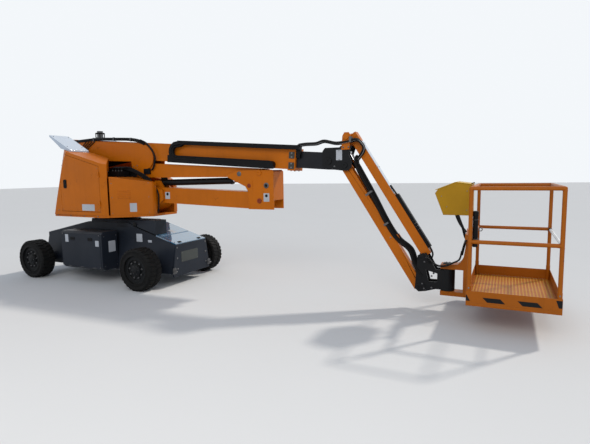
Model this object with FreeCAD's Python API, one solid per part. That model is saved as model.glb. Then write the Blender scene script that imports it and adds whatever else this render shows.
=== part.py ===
"""Articulating boom lift, battery driven, with two risers, a telescopic boom, a jib and a platform.

Units are millimetres. X points forward to the platform, Y to the left and Z up.
The origin is on the ground under the slew axis.
"""
import FreeCAD, Part
import math
import os

V = FreeCAD.Vector
SIDES = (("left", 1), ("right", -1))
os.makedirs("parts", exist_ok=True)

# Running gear
WHEELBASE = 2000.0
TRACK = 1290.0
TYRE_D = 540.0
TYRE_W = 210.0
RIM_D = 350.0
RIM_FACE_INSET = 28.0
HUB_D = 150.0
SHOULDER_W = 22.0
SHOULDER_H = 32.0
RIM_BACK_INSET = 5.0
RIM_LIP = 45.0
DISH_DEPTH = 14.0
FLANGE_R = 80.0
FLANGE_RECESS = 70.0
KNUCKLE_WEB = 30.0
STEER_SETBACK = 190.0
KNUCKLE_H = 150.0
KNUCKLE_HALF_X = 45.0
KINGPIN_R = 20.0
KINGPIN_BOSS_R = 38.0
AXLE_BEAM = 130.0
AXLE_BEAM_HALF_H = 40.0
ARCH_IN_Y = 375.0
ARCH_GAP = 60.0
HUB_IN_Y = 500.0
STUB_R = 30.0
STUB_LEN = 130.0

# Chassis
BODY_BOTTOM = 165.0
BODY_HALF_W = 310.0
BODY_SKIRT_HALF_W = 375.0
BODY_REAR_X = -1180.0
DECK_Z = 800.0
DECK_REAR_X = -300.0
DECK_FRONT_X = 480.0
TAIL_Z = 610.0
NOSE_X = 1300.0
NOSE_TOP_Z = 555.0
NOSE_BOTTOM_Z = 130.0
NOSE_PLATE = 20.0
LID_THICK = 14.0
LID_FRONT_GAP = 4.0
LID_REAR_GAP = 3.0
LID_REAR_X = 620.0
LID_OPEN = 30.0
LID_HINGE_R = 7.0
SIDE_BOX_X = (-455.0, 330.0)
SIDE_BOX_OUT_Y = 640.0
SIDE_BOX_Z = (185.0, 700.0)
HOUSING_X = (-250.0, 960.0)
HOUSING_IN_Y = 95.0
HOUSING_TOP_Z = 845.0
PEDESTAL_EDGE = 40.0
PEDESTAL_TOP = 890.0
SLEW_GAP = 6.0

# Turret
BASE_T = 30.0
TAIL_R = 845.0
HOOD_OUT_Y = 640.0
HOOD_IN_Y = 215.0
HOOD_FRONT_X = 450.0
HOOD_BEVEL = (80.0, 40.0)
HOOD_NOSE_IN_X = 70.0
HOOD_SILL = 45.0
HOOD_FRONT_TOP_Z = 1590.0
HOOD_RIDGE_X = -390.0
HOOD_RIDGE_Z = 1820.0
HOOD_RAKE = 170.0
HOOD_STRAIGHT_X = -120.0
HOOD_SKIN = 22.0
DOOR_GAP = 5.0
DOOR_REAR_X = -395.0
DOOR_DEPTH = (120.0, 60.0)
HINGE_OUT = 10.0
HINGE_R = 9.0
HINGE_PIN_R = 5.0
HINGE_L = 38.0
HINGE_Z = (1080.0, 1460.0)
CAP_LEN = 400.0
CAP_T = 26.0
CAP_RISE = 205.0
CAP_EDGE = 60.0
CAP_BACK = 250.0
COVER_GAP = 20.0
COVER_OUT_Y = 575.0
COVER_IN_Y = 170.0
COVER_FRONT_X = 880.0
COVER_CORNER = ((865.0, 250.0), (880.0, 222.0))
COVER_TOP_Z = (1430.0, 1353.0)
TOWER_T = 30.0
WEIGHT_FRONT_X = -560.0
WEIGHT_TOP_Z = 1430.0
# Tower plates, as offsets from the riser's pin, from their rear foot round over the top
TOWER_FOOT_X = (-440.0, 140.0)
TOWER_TOP = ((406.0, -78.0), (397.0, 56.0), (276.0, 97.0), (60.0, 88.0), (-90.0, 70.0))

# Beacon
BEACON_AT = (-490.0, 153.0)
BEACON_Z = 2005.0
BEACON_R = 52.0

# Risers: pins at the turret, at the elbow and at the mast
PIN_R = 34.0
BOSS_R = 62.0
RUN_FIT = 0.06
FIT = 0.3
SIDE_GAP = 6.0
TURRET_PIN = (560.0, 1190.0)
ELBOW_LOW_PIN = (2455.0, 1118.0)
ELBOW_HIGH_PIN = (2455.0, 1454.0)
HIGH_PIN_R = 28.0
MAST_PIN = (490.0, 1530.0)
RISER_LOW_W = 220.0
RISER_LOW_H = 205.0
RISER_UP_W = 200.0
RISER_UP_REAR_R = 85.0
RISER_UP_FRONT_R = 50.0
RISER_WALL = 10.0
UP_SLOT_X = 1050.0
CYL_SLOT_GAP = 14.0
ELBOW_PLATE = 14.0
ELBOW_X = (2240.0, 2650.0)
ELBOW_Z = (1015.0, 1488.0)
# The edge towards the risers, as offsets from the plate's rear and from its top
ELBOW_NECK = ((-90.0, 0.0), (-250.0, -58.0), (-250.0, -76.0), (20.0, -198.0), (60.0, -263.0))

# Mast and booms
BOOM_PIN = (-850.0, 1885.0)
BOOM_SLOPE = 4.3
BOOM_W = 180.0
BOOM_H = 235.0
BOOM_WALL = 8.0
BOOM_BOSS_L = 110.0
BOOM_FRONT = 3790.0
COLLAR_L = 95.0
INNER_W = 140.0
INNER_H = 190.0
INNER_WALL = 8.0
PAD_GAP = 0.5
INNER_REAR = 1560.0
EXTENSION = 1750.0
MAST_PLATE = 14.0
MAST_REAR = ((-960.0, 1830.0), (-960.0, 1935.0))
MAST_FRONT = ((690.0, 1850.0), (770.0, 1780.0), (800.0, 1700.0), (790.0, 1610.0), (740.0, 1550.0),
              (640.0, 1520.0), (600.0, 1410.0), (420.0, 1410.0), (400.0, 1640.0), (-100.0, 1660.0),
              (-420.0, 1600.0), (-560.0, 1475.0), (-700.0, 1475.0), (-800.0, 1600.0))

# Jib, platform bracket and rotator
JIB_LOW_PIN = (3520.0, 1520.0)
JIB_UP_PIN = (3540.0, 1830.0)
JIB_LEN = 1525.0
JIB_ANGLE = -57.5
JIB_ARM_W = 96.0
JIB_LOW_N = (-64.0, 40.0)
JIB_UP_N = (6.0, 102.0)
JIB_WALL = 8.0
JIB_PIN_R = 22.0
JIB_BOSS_R = 42.0
JIB_UP_BOSS_R = 36.0
KNUCKLE_S = 4190.0
INNER_SOLID = 130.0
INNER_PAD = 80.0
KNUCKLE_END_R = 95.0
KNUCKLE_PIN_R = 30.0
KNUCKLE_PIVOT = (3328.2, 1570.8)
KNUCKLE_PLATE = 14.0
EAR_H = 140.0
# Distances from the jib's lower pin
KNUCKLE_FRONT = ((-20.0, -58.0), (40.0, -58.0), (78.0, -20.0), (80.0, 40.0), (45.0, 120.0), (80.0, 215.0),
                 (-45.0, 215.0), (-60.0, 198.0))
ROTATOR_OUT = 270.6
ROTATOR_R = 72.0
ROTATOR_RISE = (-18.8, 206.2)
ROTATOR_PIN_R = 32.0
ARM_T = 46.0
ARM_GAP = 3.0
MOUNT_HALF_W = 65.0

# Hose chain on the boom's right side, by distance along and above the boom's line
TRAY_S = (1950.0, 3530.0)
TRAY_N = (-125.0, -33.0)
TRAY_OUT_Y = 163.0
TRAY_WALL = 8.0
CHAIN_Y = (114.0, 150.0)
CHAIN_N = (-116.5, 150.0)
CHAIN_T = 34.0
CHAIN_BEND_S = 2090.0
CHAIN_LOW_RUN = 250.0
CHAIN_UP_SPARE = 60.0
CHAIN_GAP = 5.0
CHAIN_REST = 0.5
CHANNEL_WALL = 6.0
CHANNEL_FRONT_S = 3850.0
CHANNEL_ARM_S = 3802.0
CHANNEL_ARM_H = 80.0

# Cylinders
RISER_CYL_BASE = (800.0, 1340.0)
RISER_CYL_EYE = (2475.0, 1370.0)
RISER_CYL_R = 42.0
RISER_CYL_SHARE = 0.72
RISER_EYE_PIN_R = 20.0
RISER_LUG_R = 36.0
RISER_LUG_T = 16.0
EYE_SIDE = 6.0
LUG_OUT = 24.0
LUG_PIN_R = 22.0
BOOM_CYL_BASE = (-640.0, 1560.0)
BOOM_CYL_EYE = (600.0, 1735.0)
BOOM_CYL_R = 48.0
BOOM_CYL_SHARE = 0.72
BOOM_EYE_BOSS_R = 42.0
BOOM_EYE_BOSS_T = 8.0
BOOM_SLOT_S = (640.0, 1530.0)
BOOM_BASE_PIN_R = 26.0
JIB_CYL_ALONG = 970.0
JIB_CYL_OFF = 52.0
JIB_CYL_EYE = (3545.0, 1665.0)
JIB_CYL_EYE_HALF = 20.0
JIB_CYL_SHARE = 0.574
JIB_CYL_RETURN = 275.0
JIB_CYL_R = 26.0
JIB_CYL_PIN_R = 14.0
ROD_SHARE = 0.56

# Platform
PLATFORM_OUT = 247.0
PLATFORM_L = 700.0
PLATFORM_W = 1193.0
FLOOR_RISE = 41.2
FLOOR_T = 30.0
DECK_T = 3.0
DECK_EDGE = 21.0
TOE_H = 105.0
TOE_T = 4.0
MID_RAIL_H = 542.0
MOUNT_CROSS_HALF = 330.0
MOUNT_CROSS_H = 25.0
# The neck between the rotator and the rails curves: offsets back from the rails and up from the upper arm
MOUNT_NECK = ((45.0, 420.0), (52.0, 250.0), (70.0, 130.0), (98.0, 77.0), (126.0, 55.0), (190.0, 48.0))
RAIL_H = 1010.0
RAIL_R = 17.5
ENTRY_R = 13.0
CONSOLE_Y = (-300.0, 60.0)
# Distances in front of the rail and above its top
CONSOLE_OUTLINE = ((-300.0, -15.0), (-150.0, 45.0), (0.0, 25.0), (0.0, -265.0),
                   (-250.0, -265.0), (-330.0, -55.0))


def box(x0, x1, y0, y1, z0, z1):
    return Part.makeBox(x1 - x0, y1 - y0, z1 - z0, V(x0, y0, z0))


def prism_y(points, y0, y1):
    """A plate cut to the outline points (x, z), from y0 to y1."""
    corners = [V(x, y0, z) for x, z in points]
    face = Part.Face(Part.makePolygon(corners + corners[:1]))
    return face.extrude(V(0, y1 - y0, 0))


def prism_x(points, x0, x1):
    """A solid of the cross-section points (y, z), from x0 to x1."""
    corners = [V(x0, y, z) for y, z in points]
    face = Part.Face(Part.makePolygon(corners + corners[:1]))
    return face.extrude(V(x1 - x0, 0, 0))


def prism_z(points, z0, z1):
    """A solid of the plan points (x, y), from z0 to z1."""
    corners = [V(x, y, z0) for x, y in points]
    face = Part.Face(Part.makePolygon(corners + corners[:1]))
    return face.extrude(V(0, 0, z1 - z0))


def rod_y(x, z, r, y0, y1):
    return Part.makeCylinder(r, y1 - y0, V(x, y0, z), V(0, 1, 0))


def rod_z(x, y, r, z0, z1):
    return Part.makeCylinder(r, z1 - z0, V(x, y, z0), V(0, 0, 1))


def tube_between(a, b, r):
    """A round bar from point a to point b."""
    a = V(*a)
    b = V(*b)
    return Part.makeCylinder(r, (b - a).Length, a, b - a)


def fuse(*shapes):
    solid = shapes[0].multiFuse(list(shapes[1:])) if len(shapes) > 1 else shapes[0]
    return solid.removeSplitter()


def mirror(shape):
    return shape.mirror(V(0, 0, 0), V(0, 1, 0))


def along(start, angle, s, n=0.0):
    """The point s along and n above a line through start at an angle, in the X-Z plane."""
    a = math.radians(angle)
    return (start[0] + s * math.cos(a) - n * math.sin(a), start[1] + s * math.sin(a) + n * math.cos(a))


def bar(start, angle, s0, s1, n0, n1, half_w):
    """A straight box section along a line in the X-Z plane."""
    outline = [along(start, angle, s, n) for s, n in ((s0, n0), (s1, n0), (s1, n1), (s0, n1))]
    return prism_y(outline, -half_w, half_w)


def line_angle(a, b):
    return math.degrees(math.atan2(b[1] - a[1], b[0] - a[0]))


def line_length(a, b):
    return math.hypot(b[0] - a[0], b[1] - a[1])


def save(shape, name):
    shape.exportStep("parts/" + name + ".step")
    print(name, len(shape.Solids), round(shape.Volume / 1e6, 2))


# Places that follow from the driving sizes; the platform hangs on the jib's lower end
AXLE_Z = TYRE_D / 2
FRONT_X = WHEELBASE / 2
KINGPIN_Y = TRACK / 2 - STEER_SETBACK
PEDESTAL_R = BODY_HALF_W - PEDESTAL_EDGE
JIB_LOW_END = along(JIB_LOW_PIN, JIB_ANGLE, JIB_LEN)
JIB_UP_END = along(JIB_UP_PIN, JIB_ANGLE, JIB_LEN)
ROTATOR_X = JIB_LOW_END[0] + ROTATOR_OUT
ROTATOR_Z = (JIB_LOW_END[1] + ROTATOR_RISE[0], JIB_LOW_END[1] + ROTATOR_RISE[1])
PLATFORM_X = ROTATOR_X + PLATFORM_OUT
EDGE_OUT = RAIL_R + FIT + TOE_T
HOOD_SIDE_END = HOOD_FRONT_X - HOOD_BEVEL[0]
HOOD_NOSE_Y = HOOD_OUT_Y - HOOD_BEVEL[1]
FLOOR_Z = JIB_LOW_END[1] + FLOOR_RISE
TOE_TOP = FLOOR_Z + TOE_H
MID_RAIL_Z = FLOOR_Z + MID_RAIL_H
RAIL_Z = FLOOR_Z + RAIL_H


def chassis_body():
    profile = [
        (BODY_REAR_X, BODY_BOTTOM + 60), (BODY_REAR_X + 90, BODY_BOTTOM), (NOSE_X - NOSE_PLATE, BODY_BOTTOM),
        (NOSE_X - NOSE_PLATE, NOSE_TOP_Z - LID_THICK), (DECK_FRONT_X, DECK_Z), (DECK_REAR_X, DECK_Z),
        (BODY_REAR_X, TAIL_Z)]
    body = prism_y(profile, -BODY_SKIRT_HALF_W, BODY_SKIRT_HALF_W)
    section = [
        (-BODY_SKIRT_HALF_W, 0), (BODY_SKIRT_HALF_W, 0), (BODY_SKIRT_HALF_W, AXLE_Z),
        (BODY_HALF_W, NOSE_TOP_Z), (BODY_HALF_W, DECK_Z + 100), (-BODY_HALF_W, DECK_Z + 100),
        (-BODY_HALF_W, NOSE_TOP_Z), (-BODY_SKIRT_HALF_W, AXLE_Z)]
    return body.common(prism_x(section, BODY_REAR_X - 10, NOSE_X + 10))


def lid_slope():
    return line_angle((NOSE_X, NOSE_TOP_Z), (DECK_FRONT_X, DECK_Z)) - 180


def make_chassis():
    body = chassis_body()
    # The bay under the front lid is open at the top
    bay = box(LID_REAR_X + 40, NOSE_X - 60, -BODY_HALF_W + 30, BODY_HALF_W - 30, 420, DECK_Z)
    body = body.cut(bay)
    plate_section = [
        (-BODY_SKIRT_HALF_W, NOSE_BOTTOM_Z), (BODY_SKIRT_HALF_W, NOSE_BOTTOM_Z),
        (BODY_SKIRT_HALF_W, NOSE_BOTTOM_Z + 60), (BODY_HALF_W, NOSE_TOP_Z), (-BODY_HALF_W, NOSE_TOP_Z),
        (-BODY_SKIRT_HALF_W, NOSE_BOTTOM_Z + 60)]
    plate = prism_x(plate_section, NOSE_X - NOSE_PLATE, NOSE_X)
    axle = tube_between((-FRONT_X, -HUB_IN_Y, AXLE_Z), (-FRONT_X, HUB_IN_Y, AXLE_Z), AXLE_BEAM / 2)
    # The front beam narrows to a boss at each kingpin, so that the knuckle can turn round it
    low = AXLE_Z - AXLE_BEAM_HALF_H
    high = AXLE_Z + AXLE_BEAM_HALF_H
    beam = box(FRONT_X - AXLE_BEAM / 2, FRONT_X + AXLE_BEAM / 2, -ARCH_IN_Y, ARCH_IN_Y, low, high)
    neck = box(FRONT_X - KINGPIN_BOSS_R, FRONT_X + KINGPIN_BOSS_R, -KINGPIN_Y, KINGPIN_Y, low, high)
    ends = []
    for s in (-1, 1):
        ends.append(rod_z(FRONT_X, s * KINGPIN_Y, KINGPIN_BOSS_R, low, high))
        ends.append(rod_z(FRONT_X, s * KINGPIN_Y, KINGPIN_R, AXLE_Z - KNUCKLE_H / 2, AXLE_Z + KNUCKLE_H / 2))
    # The lid's seat lies one lid thickness below the slope
    seat = bar(lid_hinge(), lid_slope(), 0, lid_length() + 100, -LID_THICK, 400, BODY_HALF_W + 5)
    body = fuse(body, plate).cut(seat)
    reach = TYRE_D / 2 + ARCH_GAP
    for x in (-FRONT_X, FRONT_X):
        for name, side in SIDES:
            y0, y1 = side_span(side, ARCH_IN_Y, TRACK)
            body = body.cut(box(x - reach, x + reach, y0, y1, 0, TYRE_D + ARCH_GAP))
    body = body.cut(lid_hinge_rod(LID_HINGE_R + FIT, 1))
    save(fuse(body, axle, beam, neck, *ends), "chassis_frame")


def make_side_boxes():
    x0, x1 = SIDE_BOX_X
    z0, z1 = SIDE_BOX_Z
    section = [
        (-SIDE_BOX_OUT_Y, z0 + 40), (-SIDE_BOX_OUT_Y + 40, z0), (-BODY_SKIRT_HALF_W - FIT, z0),
        (-BODY_SKIRT_HALF_W - FIT, z1), (-SIDE_BOX_OUT_Y + 30, z1), (-SIDE_BOX_OUT_Y, z1 - 30)]
    box_r = prism_x(section, x0, x1)
    save(box_r, "battery_box_right")
    save(mirror(box_r), "battery_box_left")


def make_housing():
    x0, x1 = HOUSING_X
    slope = [(x0, DECK_Z + FIT), (DECK_FRONT_X, DECK_Z + FIT), (x1, 0), (x1, HOUSING_TOP_Z),
             (x0, HOUSING_TOP_Z)]
    drop = math.tan(math.radians(-lid_slope())) * (x1 - DECK_FRONT_X)
    slope[2] = (x1, DECK_Z + 0.3 - drop)
    body = prism_y(slope, -BODY_HALF_W, -HOUSING_IN_Y)
    out_y = -BODY_HALF_W - 5
    top_z = HOUSING_TOP_Z + 5
    lean = prism_x([(out_y, 600), (-BODY_HALF_W, 600), (-BODY_HALF_W, DECK_Z - 60),
                    (-BODY_HALF_W + 25, top_z), (out_y, top_z)], x0 - 5, x1 + 5)
    ring = rod_z(0, 0, PEDESTAL_R + 1, DECK_Z - 5, PEDESTAL_TOP)
    save(body.cut(lean).cut(ring), "charger_housing")


def make_pedestal():
    save(rod_z(0, 0, PEDESTAL_R, DECK_Z + FIT, PEDESTAL_TOP), "slew_ring")


def lid_hinge():
    return (LID_REAR_X, DECK_Z - math.tan(math.radians(-lid_slope())) * (LID_REAR_X - DECK_FRONT_X))


def lid_length():
    return (NOSE_X - LID_REAR_X) / math.cos(math.radians(lid_slope()))


def lid_hinge_rod(r, more=0.0):
    """The round of the lid's hinge, left of the charger housing."""
    x, z = lid_hinge()
    return rod_y(x, z, r, -HOUSING_IN_Y + 10 - more, BODY_HALF_W - 20 + more)


def make_lid():
    lid = bar(lid_hinge(), lid_slope(), LID_REAR_GAP, lid_length() - LID_FRONT_GAP, -LID_THICK + FIT, 0,
              BODY_HALF_W - 1)
    clear = box(HOUSING_X[0], HOUSING_X[1] + 4, -BODY_HALF_W - 1, -HOUSING_IN_Y + 5, 0, 1200)
    save(fuse(lid.cut(clear), lid_hinge_rod(LID_HINGE_R)), "front_lid")


def side_span(side, near, far):
    """Y limits of a piece that lies near to far from the middle plane, on the left (1) or right (-1)."""
    return tuple(sorted((side * near, side * far)))


def disc(x, z, r, side, near, far):
    """A round piece about a line parallel to Y, on one side of the middle plane."""
    y0, y1 = side_span(side, near, far)
    return rod_y(x, z, r, y0, y1)


def make_wheels():
    inner = TRACK / 2 - TYRE_W / 2
    outer = TRACK / 2 + TYRE_W / 2
    r = TYRE_D / 2
    outline = [(inner, RIM_D / 2), (outer, RIM_D / 2), (outer, r - SHOULDER_H), (outer - SHOULDER_W, r),
               (inner + SHOULDER_W, r), (inner, r - SHOULDER_H)]
    face_y = outer - RIM_FACE_INSET
    back_y = inner + RIM_BACK_INSET
    for end, x in (("front", FRONT_X), ("rear", -FRONT_X)):
        for name, side in SIDES:
            corners = [V(x, side * y, AXLE_Z + h) for y, h in outline]
            face = Part.Face(Part.makePolygon(corners + corners[:1]))
            save(face.revolve(V(x, 0, AXLE_Z), V(0, 1, 0), 360), "tyre_%s_%s" % (end, name))
            rim = disc(x, AXLE_Z, RIM_D / 2 - FIT, side, back_y, face_y)
            rim = rim.cut(disc(x, AXLE_Z, RIM_D / 2 - RIM_LIP, side, face_y - DISH_DEPTH, face_y))
            rim = rim.cut(disc(x, AXLE_Z, FLANGE_R + 10, side, back_y, back_y + FLANGE_RECESS))
            hub = disc(x, AXLE_Z, HUB_D / 2, side, face_y - DISH_DEPTH - 2, face_y + 6)
            spindle = disc(x, AXLE_Z, STUB_R + RUN_FIT, side, back_y, back_y + STUB_LEN + 10)
            save(fuse(rim, hub).cut(spindle), "rim_%s_%s" % (end, name))


def make_knuckles():
    half = KNUCKLE_H / 2
    web_y = KINGPIN_Y + KNUCKLE_HALF_X
    fork_out = web_y + KNUCKLE_WEB
    flange_y = TRACK / 2 - TYRE_W / 2 + RIM_BACK_INSET + 20
    stub_y = flange_y + STUB_LEN - 20
    x0 = FRONT_X - KNUCKLE_HALF_X
    x1 = FRONT_X + KNUCKLE_HALF_X
    beam_gap = AXLE_BEAM_HALF_H + SIDE_GAP
    for name, side in SIDES:
        y0, y1 = side_span(side, KINGPIN_Y - KNUCKLE_HALF_X, fork_out)
        top = box(x0, x1, y0, y1, AXLE_Z + beam_gap, AXLE_Z + half + SIDE_GAP)
        low = box(x0, x1, y0, y1, AXLE_Z - half - SIDE_GAP, AXLE_Z - beam_gap)
        y0, y1 = side_span(side, web_y, fork_out)
        web = box(x0, x1, y0, y1, AXLE_Z - half, AXLE_Z + half)
        pin_hole = rod_z(FRONT_X, side * KINGPIN_Y, KINGPIN_R + RUN_FIT, AXLE_Z - half - 1,
                         AXLE_Z + half + 1)
        flange = disc(FRONT_X, AXLE_Z, FLANGE_R, side, fork_out, flange_y)
        stub = disc(FRONT_X, AXLE_Z, STUB_R, side, fork_out, stub_y)
        save(fuse(top, low, web, flange, stub).cut(pin_hole), "steer_knuckle_" + name)
        flange = disc(-FRONT_X, AXLE_Z, FLANGE_R, side, HUB_IN_Y + FIT, flange_y)
        stub = disc(-FRONT_X, AXLE_Z, STUB_R, side, HUB_IN_Y + FIT, stub_y)
        save(fuse(stub, flange), "rear_hub_" + name)


# Turret
def rear_circle_x(y):
    return -math.sqrt(TAIL_R ** 2 - y ** 2)


def tail_points(y_in, y_out, count=5):
    """Points of the round tail from y_out to y_in, on the right side."""
    ys = [y_out + (y_in - y_out) * i / (count - 1) for i in range(count)]
    return [(rear_circle_x(y), -y) for y in ys]


def cover_plan(inset=0.0):
    """The right cover from above; its rear edge runs along the hood's front and its side slants in."""
    line = line_angle((HOOD_NOSE_IN_X, -HOOD_IN_Y), (HOOD_FRONT_X, -HOOD_NOSE_Y))
    rear = along((HOOD_FRONT_X, -HOOD_NOSE_Y), line, 0, COVER_GAP)
    slope = math.tan(math.radians(line))
    points = [(rear[0] + (y - rear[1]) / slope, y) for y in (-COVER_IN_Y, -COVER_OUT_Y)]
    points += [(x - inset, -y + inset) for x, y in COVER_CORNER]
    return points + [(COVER_FRONT_X - inset, -COVER_IN_Y)]


def make_turret_base():
    z0 = PEDESTAL_TOP + SLEW_GAP
    right = cover_plan(5.0)[:0:-1] + [(HOOD_FRONT_X, -HOOD_NOSE_Y + 5), (HOOD_SIDE_END, -HOOD_OUT_Y + 5)]
    right += tail_points(0.0, HOOD_OUT_Y - 30, 6)
    left = [(x, -y) for x, y in reversed(right[:-1])]
    plate = prism_z(right + left, z0, z0 + BASE_T)
    hub = rod_z(0, 0, PEDESTAL_R - 60, PEDESTAL_TOP + FIT, z0)
    x, z = TURRET_PIN
    inner = RISER_LOW_W / 2 + SIDE_GAP
    foot_z = z0 + BASE_T - 1
    outline = [(x + dx, foot_z) for dx in TOWER_FOOT_X] + [(x + dx, z + dz) for dx, dz in TOWER_TOP]
    towers = [prism_y(outline, *side_span(side, inner, inner + TOWER_T)) for name, side in SIDES]
    pin = rod_y(x, z, PIN_R, -inner - 5, inner + 5)
    save(fuse(plate, hub, pin, *towers), "turret_base")


def hood_top_z(x):
    share = (x - HOOD_RIDGE_X) / (HOOD_FRONT_X - HOOD_RIDGE_X)
    return HOOD_RIDGE_Z + (HOOD_FRONT_TOP_Z - HOOD_RIDGE_Z) * share


def hood_block(inset=0.0):
    """The right hood's whole outline, drawn in by an inset; its tail is a cone about the slew axis."""
    z0 = PEDESTAL_TOP + SLEW_GAP + BASE_T + FIT
    rear = -TAIL_R - 5
    plan = [(HOOD_NOSE_IN_X, -HOOD_IN_Y), (HOOD_FRONT_X, -HOOD_NOSE_Y), (HOOD_SIDE_END, -HOOD_OUT_Y),
            (rear, -HOOD_OUT_Y), (rear, -HOOD_IN_Y)]
    outline = Part.Face(Part.makePolygon([V(x, y, z0 + inset) for x, y in plan + plan[:1]]))
    if inset:
        outline = outline.makeOffset2D(-inset, 2)
    base = outline.extrude(V(0, 0, HOOD_RIDGE_Z))
    front = HOOD_FRONT_X + 5
    side = [(rear, z0), (front, z0), (front, hood_top_z(front) - inset), (rear, hood_top_z(rear) - inset)]
    block = base.common(prism_y(side, -HOOD_OUT_Y - 5, 0))
    tail_r = TAIL_R - inset
    tail = Part.makeCone(tail_r, tail_r - HOOD_RAKE, HOOD_RIDGE_Z - z0, V(0, 0, z0), V(0, 0, 1))
    tail = tail.fuse(rod_z(0, 0, tail_r - HOOD_RAKE, HOOD_RIDGE_Z, HOOD_RIDGE_Z + 300))
    nose = box(HOOD_STRAIGHT_X, front, -HOOD_OUT_Y - 5, 0, z0, HOOD_RIDGE_Z + 300)
    return block.common(tail.fuse(nose))


def door_outline(x0, x1, low, below_top):
    return [(x0, low), (x1, low), (x1, hood_top_z(x1) - below_top), (x0, hood_top_z(x0) - below_top)]


def make_hoods():
    z0 = PEDESTAL_TOP + SLEW_GAP + BASE_T + FIT
    block = hood_block()
    shell = block.cut(hood_block(HOOD_SKIN))
    hinge_x = HOOD_SIDE_END - 12
    # The door takes the outer side, between a sill, the hinge post, a rear post and a flange along the top
    low = z0 + HOOD_SILL
    opening = door_outline(DOOR_REAR_X, hinge_x, low, HOOD_SILL)
    leaf = door_outline(DOOR_REAR_X + DOOR_GAP, hinge_x - DOOR_GAP, low + DOOR_GAP, HOOD_SILL + DOOR_GAP)
    out_y = -HOOD_OUT_Y - 20
    depth = [(DOOR_REAR_X - 1, out_y), (hinge_x + 1, out_y), (hinge_x + 1, -HOOD_OUT_Y + DOOR_DEPTH[1]),
             (DOOR_REAR_X - 1, -HOOD_OUT_Y + DOOR_DEPTH[0])]
    side = shell.common(prism_z(depth, z0, HOOD_RIDGE_Z))
    door = side.common(prism_y(leaf, out_y, 0))
    shell = shell.cut(side.common(prism_y(opening, out_y, 0)))
    px = hinge_x - DOOR_GAP / 2
    py = -HOOD_OUT_Y - HINGE_OUT
    for z in HINGE_Z:
        post = box(px, HOOD_SIDE_END - 1, py - 5, -HOOD_OUT_Y + 1, z - HINGE_L, z - 1)
        wing = box(px - 30, px, py - 5, -HOOD_OUT_Y + 1, z, z + HINGE_L)
        pin = rod_z(px, py, HINGE_PIN_R, z - HINGE_L, z + HINGE_L)
        shell = shell.multiFuse([post, rod_z(px, py, HINGE_R, z - HINGE_L, z - 1), pin])
        door = door.multiFuse([wing, rod_z(px, py, HINGE_R, z, z + HINGE_L)])
        door = door.cut(rod_z(px, py, HINGE_PIN_R + RUN_FIT, z - 1, z + HINGE_L + 1))
    save(shell, "hood_right")
    save(mirror(shell), "hood_left")
    save(door, "hood_door_right")
    save(mirror(door), "hood_door_left")
    cap_rear = (HOOD_RIDGE_X - CAP_BACK, HOOD_RIDGE_Z + CAP_RISE)
    front_x = HOOD_RIDGE_X + CAP_LEN - CAP_BACK
    cap_front = (front_x, hood_top_z(front_x) + FIT)
    foot_x = HOOD_RIDGE_X - 30
    outline = [(cap_rear[0], cap_rear[1] - CAP_T), (foot_x - 50, HOOD_RIDGE_Z + 50),
               (foot_x, hood_top_z(foot_x) + FIT), cap_front, (cap_front[0], cap_front[1] + CAP_T), cap_rear]
    cap = prism_y(outline, -HOOD_OUT_Y + CAP_EDGE, -HOOD_IN_Y - CAP_EDGE)
    save(cap, "hood_cap_right")
    save(mirror(cap), "hood_cap_left")


def make_covers():
    z0 = PEDESTAL_TOP + SLEW_GAP + BASE_T + FIT
    x0, x1 = HOOD_FRONT_X, COVER_FRONT_X
    cover = prism_z(cover_plan(), z0, COVER_TOP_Z[0])
    top = prism_y([(x0, COVER_TOP_Z[0]), (x1 + 1, COVER_TOP_Z[1]), (x1 + 1, COVER_TOP_Z[0] + 5),
                   (x0, COVER_TOP_Z[0] + 5)], -COVER_OUT_Y - 5, 0)
    cover = cover.cut(top)
    save(cover, "front_cover_right")
    save(mirror(cover), "front_cover_left")
    # Counterweight between the hoods, at the tail
    tail = tail_points(0.0, HOOD_IN_Y - 8, 4)
    side_y = HOOD_IN_Y - 8
    plan = [(WEIGHT_FRONT_X, -side_y)] + tail + [(x, -y) for x, y in reversed(tail[:-1])]
    plan.append((WEIGHT_FRONT_X, side_y))
    save(prism_z(plan, z0, WEIGHT_TOP_Z), "counterweight")


# Risers
def make_lower_riser():
    a, b = TURRET_PIN, ELBOW_LOW_PIN
    angle = line_angle(a, b)
    length = line_length(a, b)
    half_w = RISER_LOW_W / 2
    half_h = RISER_LOW_H / 2
    solid = bar(a, angle, 0, length, -half_h, half_h, half_w)
    for x, z in (a, b):
        solid = solid.fuse(rod_y(x, z, half_h, -half_w, half_w))
    cavity = bar(a, angle, BOSS_R + 60, length - BOSS_R - 60, -half_h + RISER_WALL, half_h - RISER_WALL,
                 half_w - RISER_WALL)
    lugs = []
    x, z = RISER_CYL_BASE
    outline = [(x - 90, z - 130), (x + 170, z - 130), (x + 60, z + 32), (x - 38, z + 32)]
    for name, side in SIDES:
        y0, y1 = side_span(side, RISER_CYL_R + SIDE_GAP, RISER_CYL_R + LUG_OUT)
        lugs.append(prism_y(outline, y0, y1))
    lug_pin = rod_y(x, z, LUG_PIN_R, -RISER_CYL_R - LUG_OUT, RISER_CYL_R + LUG_OUT)
    solid = fuse(solid, *lugs, lug_pin).cut(cavity)
    for x, z in (a, b):
        solid = solid.cut(rod_y(x, z, PIN_R + RUN_FIT, -half_w - 1, half_w + 1))
    save(solid, "lower_riser")


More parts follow.
